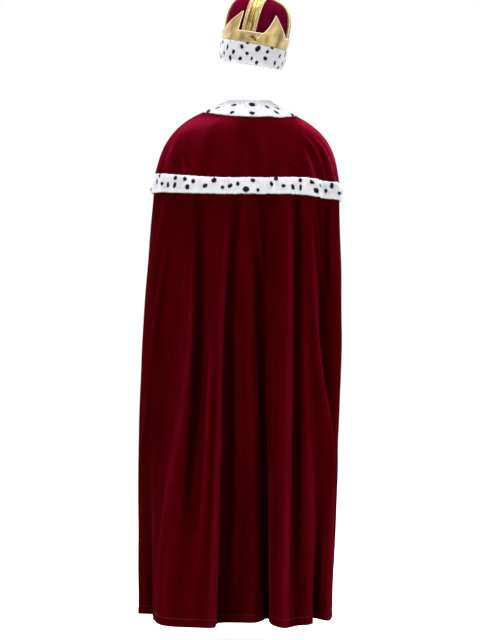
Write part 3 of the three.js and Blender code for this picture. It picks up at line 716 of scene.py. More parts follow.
def grown(name, base, tree, sizes, smooth=False):
    """What a tree makes of a base object, as a plain mesh object of its own."""
    modifier = base.modifiers.new(tree.name, "NODES")
    modifier.node_group = tree
    for item in tree.interface.items_tree:
        if item.in_out == "INPUT" and item.name in sizes:
            modifier[item.identifier] = sizes[item.name]
    graph = bpy.context.evaluated_depsgraph_get()
    result = base.evaluated_get(graph)
    mesh = bpy.data.meshes.new_from_object(result, preserve_all_data_layers=True, depsgraph=graph)
    base.modifiers.remove(modifier)
    mesh.name = name
    mesh.polygons.foreach_set("use_smooth", [smooth] * len(mesh.polygons))
    return linked(bpy.data.objects.new(name, mesh))


PILE_LEAN = (0.0, 0.0, -1.1)  # added to the cloth's normal
PILE_RUFFLE = 0.45  # how far each tuft strays from that
PILE_SIZES = (0.7, 1.25)


def pile_tree():
    """Tufts of plush: closed three-sided cones that lean down with the nap."""
    sizes = {"Density": 1000.0, "Length": 0.004, "Width": 0.001, "Seed": 1}
    tree, given, goal = new_tree("plush_pile", sizes)
    g = given.outputs
    pile = node(tree, "GeometryNodeInputNamedAttribute", {"data_type": "FLOAT"}, Name="pile")
    amount = combined(tree, "ShaderNodeMath", "MULTIPLY", g["Density"], pile.outputs["Attribute"])
    points = node(tree, "GeometryNodeDistributePointsOnFaces", {"distribute_method": "RANDOM"},
                  Mesh=g["Base"], Density=amount, Seed=g["Seed"])
    tuft = node(tree, "GeometryNodeMeshCone", {"fill_type": "NGON"}, Vertices=3, Radius_Top=0.0,
                Radius_Bottom=g["Width"], Depth=g["Length"])
    ruffle = node(tree, "FunctionNodeRandomValue", {"data_type": "FLOAT_VECTOR"},
                  Min=[-PILE_RUFFLE] * 3, Max=[PILE_RUFFLE] * 3, Seed=g["Seed"])
    lean = combined(tree, "ShaderNodeVectorMath", "ADD", points.outputs["Normal"], PILE_LEAN)
    way = combined(tree, "ShaderNodeVectorMath", "ADD", lean, live(ruffle))
    turned = node(tree, "FunctionNodeAlignRotationToVector", {"axis": "Z"}, Vector=way)
    size = node(tree, "FunctionNodeRandomValue", {"data_type": "FLOAT"},
                Min=PILE_SIZES[0], Max=PILE_SIZES[1], Seed=g["Seed"])
    stood = node(tree, "GeometryNodeInstanceOnPoints", Points=points.outputs["Points"],
                 Instance=tuft.outputs["Mesh"], Rotation=turned.outputs["Rotation"], Scale=live(size))
    return finished(tree, goal, stood.outputs["Instances"], ERMINE)


def bead_tree(look):
    """Round beads at an even pitch along curves."""
    tree, given, goal = new_tree("beads_along", {"Pitch": 0.003, "Radius": 0.001})
    g = given.outputs
    points = node(tree, "GeometryNodeCurveToPoints", {"mode": "LENGTH"}, Curve=g["Base"], Length=g["Pitch"])
    bead = node(tree, "GeometryNodeMeshIcoSphere", Radius=g["Radius"], Subdivisions=2)
    strung = node(tree, "GeometryNodeInstanceOnPoints",
                  Points=points.outputs["Points"], Instance=bead.outputs["Mesh"])
    return finished(tree, goal, strung.outputs["Instances"], look)


def stitch_tree(look):
    """Running stitches at an even pitch along curves, each a short rounded bar."""
    tree, given, goal = new_tree("stitches_along", {"Pitch": 0.008, "Length": 0.0024, "Thickness": 0.0004})
    g = given.outputs
    points = node(tree, "GeometryNodeCurveToPoints", {"mode": "LENGTH"}, Curve=g["Base"], Length=g["Pitch"])
    stitch = node(tree, "GeometryNodeMeshIcoSphere", Radius=1.0, Subdivisions=1)
    shape = node(tree, "ShaderNodeCombineXYZ", X=g["Thickness"], Y=g["Thickness"], Z=g["Length"])
    sewn = node(tree, "GeometryNodeInstanceOnPoints", Points=points.outputs["Points"],
                Instance=stitch.outputs["Mesh"], Rotation=points.outputs["Rotation"], Scale=shape.outputs[0])
    return finished(tree, goal, sewn.outputs["Instances"], look)


def path_object(name, paths):
    """A curve object with one straight-sided spline for each path."""
    curve = bpy.data.curves.new(name, "CURVE")
    curve.dimensions = "3D"
    for path in paths:
        spline_of = curve.splines.new("POLY")
        spline_of.points.add(len(path) - 1)
        spline_of.points.foreach_set("co", np.c_[np.asarray(path) * MM, np.ones(len(path))].ravel())
    return linked(bpy.data.objects.new(name, curve))


def along_paths(name, paths, tree, sizes, smooth=False):
    """Small pieces along paths, as one plain mesh."""
    base = path_object(name + "_path", paths)
    made = grown(name, base, tree, sizes, smooth)
    curve = base.data
    bpy.data.objects.remove(base)
    bpy.data.curves.remove(curve)
    return made


# Plush trims
PILE_LENGTH = 4.2
PILE_WIDTH = 0.8
PILE_RISE = 1.9  # how far the leaning tufts stand above the cloth that carries them
PLUSH_STEP = 2.4
PLUSH_ROUND = 3.5  # how far in from its edge a trim reaches its full thickness
PLUSH_EDGE = 0.25  # share of that thickness left at the very edge
TRIM_SWELL = 0.6

# Each print's spots: along and down the cloth, half length, half width and turn; then the
# print's length and height before it comes round again, and how much taller its spots stand
BAND_PRINT = ((
    (-194, 11, 5.5, 5, 60), (-186, 35, 6.5, 4.8, 80), (-173, 16, 6, 5.5, 30), (-138, 29, 6.5, 5.5, -30),
    (-116, 11, 7.5, 6.5, -60), (-92, 33, 5.5, 4.5, 0), (-73, 28, 6.5, 5, -30), (-51, 21, 6, 5.5, 20),
    (-29, 39, 8, 7, 0), (-12, 10, 6, 5.5, 30), (1, 41, 5, 4.5, 0), (40, 22, 6.5, 5, 60),
    (53, 5, 6.5, 5.5, 0), (72, 28, 5.5, 4.5, 0), (94, 31, 7, 4.6, 80), (119, 9, 7, 5.5, -10),
    (119, 31, 7.5, 5.2, -70),
), 345, 55, 0.78)
COLLAR_PRINT = ((
    (-113, 50, 6, 5, 80), (-45, 28, 6.5, 5.5, 0), (10, 22, 8.5, 7.5, 30), (52, 32, 6, 5, 0),
    (112, 26, 6, 5, 20), (125, 48, 6.5, 5, 0), (60, 55, 6.5, 5.5, 60), (7, 62, 8, 5.5, 0),
    (-80, 50, 6.5, 5.5, 40), (-86, 68, 6, 5, 0), (-31, 63, 6, 5, 0), (-103, 31, 7, 5.5, 40),
    (92, 69, 6, 5, 0), (-128, 14, 6, 5, 30), (82, 40, 6.5, 5, 0),
), 262, 80, 0.8)
CROWN_PRINT = ((
    (8, 11, 8.8, 6.8, -50), (-93, 20, 7, 4.2, 95), (-66, 30, 6, 5.5, -60), (-41, 13, 6.5, 5, 40),
    (-76, 46, 6.5, 5, 70), (-21, 29, 6, 4.4, 10), (-40, 45, 6, 5, -20), (-5, 40, 5, 3.7, -70),
    (13, 48, 5.5, 4.5, -20), (36, 33, 7, 5.5, 20), (75, 40, 5.5, 4.6, 80), (89, 18, 6.5, 3.9, -50),
    (121, 9, 8, 4.5, -80), (117, 36, 6.5, 3.8, -70), (53, 2, 5, 3.5, 0), (39, 14, 5.4, 4.6, -20),
    (-108, 36, 5.5, 4, 85), (-150, 14, 8, 5.5, -85), (-25, 1, 5, 3.5, 0), (-128, 9, 5.5, 4.5, 30),
    (-131, 45, 5.5, 4.5, 0), (145, 29, 6, 5, 30), (99, 49, 5, 4, 0), (-150, 36, 5, 4, 60),
), 312.6, 60, 0.92)


def spots(along, down, spread, chart, repeat, row, tall):
    """The printed spots at points of the cloth, from 0 to 1 with a soft edge at a half."""
    mask = np.zeros(np.broadcast(along, down).shape)
    for x, y, long, wide, turn in chart:
        dx = ((along - x + repeat / 2) % repeat - repeat / 2) * spread
        dy = ((down - y + row / 2) % row - row / 2) * tall
        c, s = math.cos(math.radians(turn)), math.sin(math.radians(turn))
        away = np.hypot((dx * c + dy * s) / long, (dy * c - dx * s) / wide)
        mask = np.maximum(mask, np.clip(0.5 + (1 - away) * wide / 2, 0, 1))
    return mask


def rounded(distance):
    """Share of the full thickness at a distance from a plush piece's edge."""
    t = np.clip(distance / PLUSH_ROUND, 0, 1)
    return PLUSH_EDGE + (1 - PLUSH_EDGE) * np.sqrt(1 - (1 - t) ** 2)


def plush_piece(name, outer, inner, printed, tufts, seed, ring=False):
    """A plush trim: its printed cloth, and the pile that stands on it."""
    cloth = wall(name, outer, inner, ERMINE, ring)
    half = outer.shape[0] * outer.shape[1]
    give(cloth.data, "pile", np.r_[np.ones(half), np.zeros(half)])
    give(cloth.data, "spot", np.r_[printed.ravel(), np.zeros(half)])
    sizes = {
        "Density": tufts / area_of(outer), "Length": PILE_LENGTH * MM, "Width": PILE_WIDTH * MM, "Seed": seed,
    }
    return cloth, grown(name + "_pile", cloth, PILE_TREE, sizes)


PILE_TREE = pile_tree()


# The robe and the cape
SKIRT_LEAD = 10  # the skirt's creases start this far above the cape's hem
SKIRT_EASE = 60  # and take this far to come in
CAPE_LEAD = 12  # the same for the cape's, above the collar's edge
CAPE_EASE = 40
SKIRT_SWELL = 1.2
SWELL_STRETCH = (1, 1, 0.35)  # makes the skirt's swells long and upright
CAPE_SWELL = 0.7
ROBE_COLUMNS = 10  # to each fold line
FRONT_COLUMNS = 11
CAPE_COLUMNS = 8
UNDER_CAPE = 20  # how far the robe's fine rows run up under the cape
HIDDEN_ROW = 20
ROBE_ROW = 7.02
CAPE_ROW = 6.5
ROBE_ROWS = np.concatenate((
    np.arange(NECK_SEAM, CAPE_HEM - UNDER_CAPE, HIDDEN_ROW),
    np.arange(CAPE_HEM - UNDER_CAPE, ROBE_HEM - 4, ROBE_ROW),
    (ROBE_HEM - 2.5, ROBE_HEM - 1, ROBE_HEM),
))
FOOT_THIN = 0.35  # share of its thickness that the cloth keeps at its very foot
HEM_FOLD = 22  # the hem is turned up this far
HEM_SWELL = 0.8  # how far the turned-up cloth fills the hem out
HEM_DIP = 3  # how far up and down the row of stitches draws the hem in
HEM_STEP = 6
HEM_COLUMNS = 900
FRONT_FOLD = 14  # the front edges are folded in this far
EDGE_REACH = 0.6  # fold lines in from a front edge that hold its row of stitches
STITCH_PITCH = 8
STITCH_LENGTH = 4.8
STITCH_THICK = 0.5


def robe_surface(us, downs):
    """The robe's outside with its creases, its turned-up hem and low swells."""
    grid = form(us, downs)
    n = normals(grid)
    shown = ease((downs - CAPE_HEM + SKIRT_LEAD) / SKIRT_EASE)[:, None]
    out = creased(us, downs, grid, SKIRT_CREASES)
    out += SKIRT_SWELL * soft_noise(grid * SWELL_STRETCH, size=46, seed=3)
    below_fold = downs - (ROBE_HEM - HEM_FOLD)
    drawn_in = np.exp(-(below_fold / HEM_DIP) ** 2)[:, None]
    out += HEM_SWELL * (ease(below_fold / HEM_STEP)[:, None] - drawn_in)
    return trimmed(grid + n * (out * shown)[:, :, None])


def robe_panel(name, node_name, u_from, u_to, columns):
    us = np.linspace(u_from, u_to, round((u_to - u_from) * columns) + 1)
    outer = robe_surface(us, ROBE_ROWS)
    thin_foot = np.minimum(1, (ROBE_HEM - ROBE_ROWS) / 2 + FOOT_THIN)[:, None, None]
    n = normals(outer)
    middle = outer - n * VELVET / 2
    half = n * thin_foot * VELVET / 2
    panel = wall(name, middle + half, middle - half, ROBE_VELVET)
    # painted fold shade and ridge highlight, with patches of painted light and shade
    hollow = hollows(outer, ROBE_HOLLOWS, lowest=-1) + painted_patches(us, ROBE_ROWS, ROBE_PAINTED_LIGHT_AND_SHADE)
    shaded(panel, np.interp(hollow, *RIDGE_PAINTED_HIGHLIGHT))
    carry(panel, "velvet", node_name)
    return panel


def edge_line(u_edge, downs, inward):
    """A line that runs down the robe at a distance in from one of its front edges."""
    ends = (LAST_LINE - EDGE_REACH, LAST_LINE) if u_edge else (0, EDGE_REACH)
    grid = robe_surface(np.linspace(*ends, 7), downs)
    if u_edge:
        grid = grid[:, ::-1]
    return np.array([
        [np.interp(inward, away, row[:, k]) for k in range(3)]
        for away, row in zip(arc(grid), grid)
    ])


def hem_stitches():
    """The stitches that hold the turned-up hem and front edges."""
    hem_rows = ROBE_HEM - HEM_FOLD + np.array((-4.0, 0, 4))
    hem = robe_surface(np.linspace(0, LAST_LINE, HEM_COLUMNS), hem_rows)[1]
    shown = ROBE_ROWS[(ROBE_ROWS > BAND_EDGE + 20) & (ROBE_ROWS < ROBE_HEM - 6)]
    fronts = [edge_line(u, shown, FRONT_FOLD) for u in (0, LAST_LINE)]
    sizes = {"Pitch": STITCH_PITCH * MM, "Length": STITCH_LENGTH / 2 * MM, "Thickness": STITCH_THICK * MM}
    made = along_paths("robe_hem_stitches", [hem, *fronts], stitch_tree(RED_THREAD), sizes)
    return carry(made, "velvet")


def cape_fold(us, downs, grid):
    """How far the cape's creases and swells stand out, which they do from the collar's edge down."""
    shown = ease((downs - COLLAR_EDGE + CAPE_LEAD) / CAPE_EASE)[:, None]
    out = creased(us, downs, grid, CAPE_CREASES)
    return (out + CAPE_SWELL + CAPE_SWELL * soft_noise(grid, size=70, seed=9)) * shown


def cape_gap(downs):
    """How far the cape's inside hangs off the robe."""
    fall = (np.minimum(downs, CAPE_HEM) - COLLAR_EDGE) / (CAPE_HEM - COLLAR_EDGE)
    return (SEAM + CAPE_LIFT * ease(fall))[:, None]


def cape():
    us = np.linspace(0, LAST_LINE, LAST_LINE * CAPE_COLUMNS + 1)
    downs = np.append(np.arange(NECK_SEAM, CAPE_HEM, CAPE_ROW), CAPE_HEM)
    grid = trimmed(form(us, downs))
    n = normals(grid)
    lift = cape_gap(downs) + cape_fold(us, downs, grid)
    inner = grid + n * lift[:, :, None]
    outer = grid + n * (lift + VELVET)[:, :, None]
    made = carry(wall("cape_velvet", outer, inner, ROBE_VELVET), "velvet", "cape")
    # painted fold shade, painted lighter all over, with painted sheen patches on the shoulders
    hollow = np.maximum(hollows(outer, CAPE_HOLLOWS) - CAPE_PAINTED_LIGHT, CAPE_LIGHTEST)
    shaded(made, hollow + painted_patches(us, downs, CAPE_PAINTED_SHEEN_AND_SHADE))
    return made


def trim(name, node_name, top, foot, chart, print_at, tufts, seed):
    """The plush along the cape: the collar or the hem band."""
    middle_row = form(np.linspace(0, LAST_LINE, 200), [(top + foot) / 2])
    columns = round(float(arc(middle_row)[0, -1]) / PLUSH_STEP)
    us = np.linspace(0, LAST_LINE, columns)
    downs = np.linspace(top, foot, round((foot - top) / PLUSH_STEP) + 1)
    grid = trimmed(form(us, downs))
    n = normals(grid)
    ripple = 0.5 + 0.5 * soft_noise(grid, size=24, seed=seed)
    lift = cape_gap(downs) + VELVET + SEAM + cape_fold(us, downs, grid)
    along = arc(grid, int(np.argmin(abs(us - MIDDLE))))
    level = along[len(downs) // 2][None]
    spread = np.gradient(along, axis=1) / np.gradient(level, axis=1)
    ends = np.minimum(along - along[:, :1], along[:, -1:] - along)
    edge = np.minimum(downs - top, foot - downs)[:, None]
    full = rounded(np.minimum(ends, edge)) * (PLUSH - PILE_RISE) + ripple * TRIM_SWELL
    outer = grid + n * (lift + full)[:, :, None]
    inner = grid + n * lift[:, :, None]
    printed = spots(level - print_at, (downs - top)[:, None], spread, *chart)
    cloth, pile = plush_piece(name, outer, inner, printed, tufts, seed)
    carry(cloth, "ermine", node_name)
    carry(pile, "ermine")
    return cloth


robe_panel("robe_back_velvet", "robe_back", LEFT_SEAM, RIGHT_SEAM, ROBE_COLUMNS)
robe_panel("robe_left_front_velvet", "robe_left_front", 0, LEFT_SEAM, FRONT_COLUMNS)
robe_panel("robe_right_front_velvet", "robe_right_front", RIGHT_SEAM, LAST_LINE, FRONT_COLUMNS)
hem_stitches()
cape()
trim("cape_band_plush", "cape_band", BAND_TOP, BAND_EDGE, BAND_PRINT,
     print_at=31, tufts=39500, seed=5)
trim("collar_plush", "collar", COLLAR_TOP, COLLAR_EDGE, COLLAR_PRINT,
     print_at=0, tufts=28500, seed=7)


# The clasp keeps its own form and takes brushed brass
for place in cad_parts["clasp"].material_slots:
    place.material = CLASP_BRASS

# The crown, worked out in its own frame: its underside's middle is the origin and +Z its axis
CROWN_AT = np.array((5, 14, 129))
CROWN_PITCH = 9
CROWN_ROLL = 10.6
CROWN_YAW = -10
HALF_WIDTH = 93  # of the brim's outline
HALF_DEPTH = 106
BRIM_HEIGHT = 53
BRIM_COLUMNS = 312
BRIM_ROWS = 27
BRIM_DENT = 0.9
# How far the brim's outside and inside stand out from its outline, at some levels up it
BRIM_LEVELS = (0, 4, 26, 48, BRIM_HEIGHT)
BRIM_OUTSIDE = (-6, -4, -0.8, 0, -2)
BRIM_INSIDE = (-11, -12, -10, -9.5, -8.5)
BRIM_DROOP = 4  # how much lower its edge hangs on the left
CROWN_PRINT_AT = 23  # from the back's middle to the print's
CAP_TOP = 129
# The cap from the strip to its top: its share of the brim's outline, and its height above the brim
CAP_PROFILE = np.array([
    (0.93, 0.3), (0.935, 30), (0.93, 60), (0.89, 84), (0.81, 102),
    (0.67, 115), (0.48, 123), (0.27, 127.5), (0.12, CAP_TOP), (0, CAP_TOP),
])
CAP_ROWS = np.arange(len(CAP_PROFILE))
CAP_COLUMNS = 180
CAP_MESH_ROWS = np.append(np.linspace(0, 8, 49), (8.3, 8.6, 8.85))
PUCKERS = 17
FOOT_PUCKER = 1.3  # how deep the puckers sink at the strip
TOP_PUCKER = 1.5
ARCH_NAMES = ("back", "right", "front", "left")
ARCH_WIDTH = 38
ARCH_COLUMNS = 39
ARCH_THICK = 1.4
ARCH_LIFT = 0.5
ARCH_MITRE = 43.5  # the arches narrow at the top to fit into this many degrees to each side
ARCH_DRIFT = (-5, 0, 0, 0)  # how far round each arch's foot has drifted, in degrees
DRIFT_ROWS = 5
BRAID_WIDTH = 9
FOIL = 1.5
POINT_VALLEY = 30
POINT_RISE = 54
STRIP_LEAN = ((0, POINT_VALLEY, POINT_VALLEY + POINT_RISE), (-2.1, 1.5, -1.5))
STRIP_ROWS = 18
STRIP_DEEPEST = -2.6  # no dent of the strip goes further in, so that it stays off the cap
DENT_SHADE = 0.08  # painted shade for each millimetre that a dent sinks, and painted light for each that a swell stands out
PIPING_RADIUS = 1.25
PIPING_SIDES = 8
PIPING_PROUD = 0.2  # how far it lies out from the middle of the strip's thickness

# The gold points: bearings of each one's left foot, tip and right foot, how hollow its two sides
# are, and how far its tip leans over to the right
POINTS = (
    (20, 40, 71, 1.6, 1.05, 0), (109, 135, 161, 1.3, 1.3, 0),
    (199, 225, 251, 1.3, 1.3, 0), (297, 333, 339, 1.05, 1.2, 8),
)


def turn_about(axis, degrees):
    return np.array(Matrix.Rotation(math.radians(degrees), 3, axis))


CROWN_TURN = turn_about("X", CROWN_PITCH) @ turn_about("Y", CROWN_ROLL) @ turn_about("Z", CROWN_YAW)


def tilted(points):
    """Points of the crown's own frame, put in their tilted place above the collar."""
    return points @ CROWN_TURN.T + CROWN_AT


def turn_from(at, degrees):
    """The shorter way round from one bearing to another, from -180 to 180."""
    return (degrees - at + 180) % 360 - 180


def brim_point(degrees, out, z):
    """A point of the brim's outline, moved out. The bearing 0 is the back."""
    degrees, out, z = np.broadcast_arrays(degrees, out, z)
    x, y = np.sin(np.radians(degrees)), -np.cos(np.radians(degrees))
    nx, ny = x / HALF_WIDTH, y / HALF_DEPTH
    size = np.hypot(nx, ny)
    return np.stack((x * HALF_WIDTH + nx / size * out, y * HALF_DEPTH + ny / size * out, z), axis=-1)


def brim():
    """The padded ermine ring."""
    bearings = np.linspace(0, 360, BRIM_COLUMNS, endpoint=False)
    levels = np.linspace(0, BRIM_HEIGHT, BRIM_ROWS)
    outside = np.array([through(BRIM_LEVELS, BRIM_OUTSIDE, z) for z in levels])
    inside = np.array([through(BRIM_LEVELS, BRIM_INSIDE, z) for z in levels])
    edge = rounded(np.minimum(levels, BRIM_HEIGHT - levels))
    droop = BRIM_DROOP * np.clip(-np.sin(np.radians(bearings)), 0, 1) * (1 - levels / BRIM_HEIGHT)[:, None]
    z = levels[:, None] - droop
    middle = ((outside + inside) / 2)[:, None]
    half = ((outside - PILE_RISE - inside) / 2)[:, None] * edge[:, None]
    dent = BRIM_DENT * soft_noise(brim_point(bearings[None], 0, z), size=26, seed=21)
    outer = brim_point(bearings[None], middle + half - PILE_RISE / 2 + dent, z)
    inner = brim_point(bearings[None], middle - half - PILE_RISE / 2, z)
    around = np.radians(turn_from(0, bearings)) * (HALF_WIDTH + HALF_DEPTH) / 2
    printed = spots(around[None] - CROWN_PRINT_AT, (BRIM_HEIGHT - levels)[:, None], 1, *CROWN_PRINT)
    outer, inner = tilted(outer), tilted(inner)
    cloth, pile = plush_piece("crown_brim_plush", outer, inner, printed, tufts=24000, seed=11, ring=True)
    carry(cloth, "ermine", "crown_brim")
    carry(pile, "ermine")


SLUMP = 6  # how far the strip has slumped at its left
SLUMP_AT = 300
SLUMP_SPAN = 42


def strip_height(degrees):
    """Height of the gold strip's top edge above the brim at a bearing."""
    valley = POINT_VALLEY - SLUMP * math.exp(-(turn_from(SLUMP_AT, degrees) / SLUMP_SPAN) ** 2)
    for left, tip, right, left_hollow, right_hollow, over in POINTS:
        if left <= degrees <= tip:
            return valley + POINT_RISE * ((degrees - left) / (tip - left)) ** left_hollow
        if tip <= degrees <= right:
            return valley + POINT_RISE * ((right - degrees) / (right - tip)) ** right_hollow
    return valley


# The strip's end laps over its start: from the valley at the foot of the first point, its cut end
# slants down to the brim. Bearings and heights above the brim.
LAP_LINE = ((11, 0), (12.5, 12), (20, POINT_VALLEY))
LAP_STEP = 1.3
LAP_EDGE = 1.2  # how many degrees the step takes
LAP_FADE = 26
# Soft dents and swells of the strip: bearing, height above the brim, how far round in degrees and
# up in millimetres each spreads, and how far it stands out
STRIP_DENTS = (
    (6, 17, 5, 2.4, -3.2), (11, 11, 4, 2.2, -2.8), (2, 11, 4, 2.6, 2.2), (11, 20, 4, 2.4, 2.2),
    (7, 5, 5, 3, 1.8), (40, 26, 8, 26, 1.6), (54, 22, 6, 24, -1.3), (62, 12, 5, 14, 1.2),
    (30, 14, 6, 12, -1.2),
    (334, 28, 6, 26, 1.5), (324, 16, 7, 18, 0.9), (313, 14, 5, 14, -0.3), (347, 13, 7, 13, -1.3),
    (135, 24, 8, 26, 1.5), (120, 14, 6, 14, -1.3), (152, 16, 6, 16, 1.1), (225, 26, 8, 24, 1.4),
    (210, 14, 6, 16, -1.4), (243, 16, 7, 14, 1.2), (90, 14, 8, 12, 1.0), (180, 14, 9, 12, -1.1),
    (275, 14, 8, 12, 1.2),
)
TIP_STEP = 0.4  # the strip has a column this close to each side of a tip
STRIP_BEARINGS = np.unique(np.concatenate((
    np.arange(0, 360, 1.0),
    *((left, tip - TIP_STEP, tip, tip + TIP_STEP, right) for left, tip, right in (p[:3] for p in POINTS)),
)))


def lap(degrees, height):
    """How far the lapping end stands over the strip beneath it."""
    line = np.interp(height, [z for b, z in LAP_LINE], [b for b, z in LAP_LINE])
    away = turn_from(line, degrees)
    return LAP_STEP * ease(away / LAP_EDGE + 0.5) * (1 - ease(away / LAP_FADE)) * (height < POINT_VALLEY + 8)


def dents(degrees, height):
    out = 0
    for at, level, wide, tall, depth in STRIP_DENTS:
        away = turn_from(at, degrees) / wide
        out = out + depth * np.exp(-away ** 2 - ((height - level) / tall) ** 2)
    return out


def strip_point(degrees, height, inset=0):
    """A point of the gold strip, with its soft dents and its lap."""
    degrees, height = np.broadcast_arrays(degrees, height)
    lean = np.vectorize(lambda h: through(*STRIP_LEAN, h))(height)
    rise = np.maximum(0, height - POINT_VALLEY) / POINT_RISE
    for left, tip, right, left_hollow, right_hollow, over in POINTS:
        degrees = degrees + over * rise * (left <= degrees % 360) * (degrees % 360 <= right)
    out = lean + lap(degrees, height) + dents(degrees, height)
    return brim_point(degrees, np.maximum(out, STRIP_DEEPEST) - inset, BRIM_HEIGHT + height)


def strip():
    """The gold strip with its four points, and the piping along its cut top."""
    tops = np.array([strip_height(b) for b in STRIP_BEARINGS])
    heights = SEAM + np.linspace(1, 0, STRIP_ROWS)[:, None] * (tops - SEAM)
    outer = tilted(strip_point(STRIP_BEARINGS[None], heights))
    inner = tilted(strip_point(STRIP_BEARINGS[None], heights, FOIL))
    cloth = wall("crown_points_lame", outer, inner, GOLD_CLOTH, True)
    # painted fold shade, with painted shade in the dents and painted light on the swells
    shaded(cloth, hollows(outer, GOLD_HOLLOWS) - dents(STRIP_BEARINGS[None], heights) * DENT_SHADE)
    carry(cloth, "gold_cloth", "crown_points")
    middle, top = np.array(LAP_LINE[1:])
    cut_end = middle + (top - middle) * np.linspace(0, 1, 6)[:-1, None]
    order = np.argsort((STRIP_BEARINGS - top[0]) % 360)
    line = np.vstack((cut_end, np.c_[STRIP_BEARINGS, tops][order], top))
    path = tilted(strip_point(line[:, 0], line[:, 1], FOIL / 2 - PIPING_PROUD))
    piping = carry(tube("crown_points_piping", path, PIPING_RADIUS, PIPING_SIDES, PIPING), "gold_braid")


def tube(name, path, radius, sides, look):
    """A closed tube along a path."""
    along = np.gradient(path, axis=0)
    along /= np.linalg.norm(along, axis=1, keepdims=True)
    side = np.cross(along[0], (0.3, 0.5, 0.8))  # any way that the path doesn't start in
    turns = np.arange(sides) * TAU / sides
    rings = []
    for point, way in zip(path, along):
        side = side - way * side.dot(way)
        side /= np.linalg.norm(side)
        up = np.cross(way, side)
        rings.append(point + radius * (np.outer(np.cos(turns), side) + np.outer(np.sin(turns), up)))
    return skin(name, np.array(rings), look)


def cap_profile(t):
    return through(CAP_ROWS, CAP_PROFILE[:, 0], t), through(CAP_ROWS, CAP_PROFILE[:, 1], t)


def cap_point(radians, t, out):
    """The cap's outside at a bearing, and at a place counted in rows of its profile, moved out."""
    share, height = cap_profile(t)
    below, above = cap_profile(max(t - 0.1, 0)), cap_profile(min(t + 0.1, CAP_ROWS[-1]))
    rim = np.array((HALF_WIDTH * math.sin(radians), -HALF_DEPTH * math.cos(radians), 0))
    along = rim * (above[0] - below[0]) + (0, 0, above[1] - below[1])
    right = np.array((HALF_WIDTH * math.cos(radians), HALF_DEPTH * math.sin(radians), 0))
    normal = np.cross(right, along)
    normal /= np.linalg.norm(normal)
    return rim * share + (0, 0, BRIM_HEIGHT + height) + normal * out


def cap():
    """The puffed velvet cap, drawn in by soft puckers at the strip and under the finial."""
    bearings = np.radians(np.linspace(0, 360, CAP_COLUMNS, endpoint=False))
    puckers = np.array([0.5 + 0.5 * math.sin(b * PUCKERS + 1.7 * math.sin(b * 3) + 0.6) for b in bearings])
    low = FOOT_PUCKER * ease((2.6 - CAP_MESH_ROWS) / 2.6)
    high = TOP_PUCKER * (ease((CAP_MESH_ROWS - 4.6) / 2.5) * ease((8.8 - CAP_MESH_ROWS) / 0.8))
    sinks = (low + high)[:, None] * puckers

    def layer(inset):
        return tilted(np.array([
            [cap_point(b, t, -s - inset) for b, s in zip(bearings, sink)]
            for t, sink in zip(CAP_MESH_ROWS, sinks)
        ]))

    outer = layer(0)
    cloth = wall("crown_cap_velvet", outer, layer(VELVET), CAP_VELVET, True)
    # painted shade in the puckers, deeper where they sink further
    shaded(cloth, sinks / 3 + 0.3)
    carry(cloth, "velvet", "crown_cap")


def over_cap(index, rows, sides, outs):
    """Points of a strip over the cap: a row for each place up it, a column for each side offset."""
    angle = index * TAU / len(ARCH_NAMES)
    grid = []
    for r, t in enumerate(rows):
        share = cap_profile(t)[0]
        across, along = HALF_WIDTH * share * math.cos(angle), HALF_DEPTH * share * math.sin(angle)
        reach = math.hypot(across, along)
        shrink = min(1, reach * math.sin(math.radians(ARCH_MITRE)) / (ARCH_WIDTH / 2))
        drift = ARCH_DRIFT[index] * max(0, 1 - t / DRIFT_ROWS)
        middle = math.atan2(along, across) + math.radians(drift)
        grid.append([
            cap_point(math.asin(side * shrink / reach) + middle, t, out)
            for side, out in zip(sides, outs[r])
        ])
    return tilted(np.array(grid))


# The lengthwise tucks in the middle of each arch: where across it, half width, and height
ARCH_TUCKS = (
    (-7.9, 1.3, 1.8), (-4.9, 1.0, 1.3), (-1.4, 1.4, 2.3), (2.2, 1.1, 1.4), (5.2, 1.2, 2.1), (8.3, 1.0, 1.4),
)
ARCH_ROWS = np.linspace(0, 8, 65)
BRAID_ROWS = np.linspace(1, 8, 57)


def arch(index, name):
    """A tucked gold strip from behind the points to the top."""
    sides = np.linspace(-ARCH_WIDTH / 2, ARCH_WIDTH / 2, ARCH_COLUMNS)
    top = np.full((len(ARCH_ROWS), len(sides)), ARCH_LIFT + ARCH_THICK)
    for k, (at, half, height) in enumerate(ARCH_TUCKS):
        drift = 0.8 * np.sin(ARCH_ROWS * (0.9 + 0.13 * k) + index + 1.7 * k)[:, None]
        lively = (0.75 + 0.35 * np.sin(ARCH_ROWS * (1.3 + 0.21 * k) + 2.3 * k))[:, None]
        top += height * lively * np.exp(-((sides - at - drift) / half) ** 2)
    outer = over_cap(index, ARCH_ROWS, sides, top)
    inner = over_cap(index, ARCH_ROWS, sides, np.full_like(top, ARCH_LIFT))
    cloth = wall(f"crown_arch_{name}_lame", outer, inner, ARCH_CLOTH)
    # painted highlight on the tucks and painted shade between them
    shaded(cloth, hollows(outer, GOLD_HOLLOWS))
    carry(cloth, "gold_cloth", f"crown_arch_{name}")


BRAID_FOOT = ARCH_LIFT + ARCH_THICK + SEAM
BRAID_SPAN = (1.05, 7.9)  # the rows of the cap's profile between which the beads and the cord run
RIBBON_THICK = 1.0
RIBBON_COLUMNS = 9
BEAD_RADIUS = 1.5
BEAD_PITCH = 4.3
BEAD_SIDE = 3.3  # how far each string of beads lies from the braid's middle
BEAD_SUNK = 0.55  # share of its radius at which a bead's middle stands above the ribbon
STRING_STEPS = 120
ZIGZAG_RADIUS = 0.7
ZIGZAG_LIFT = 0.6
ZIGZAG_SWING = 2.1
ZIGZAG_STEPS = 180
ZIGZAG_SIDES = 5


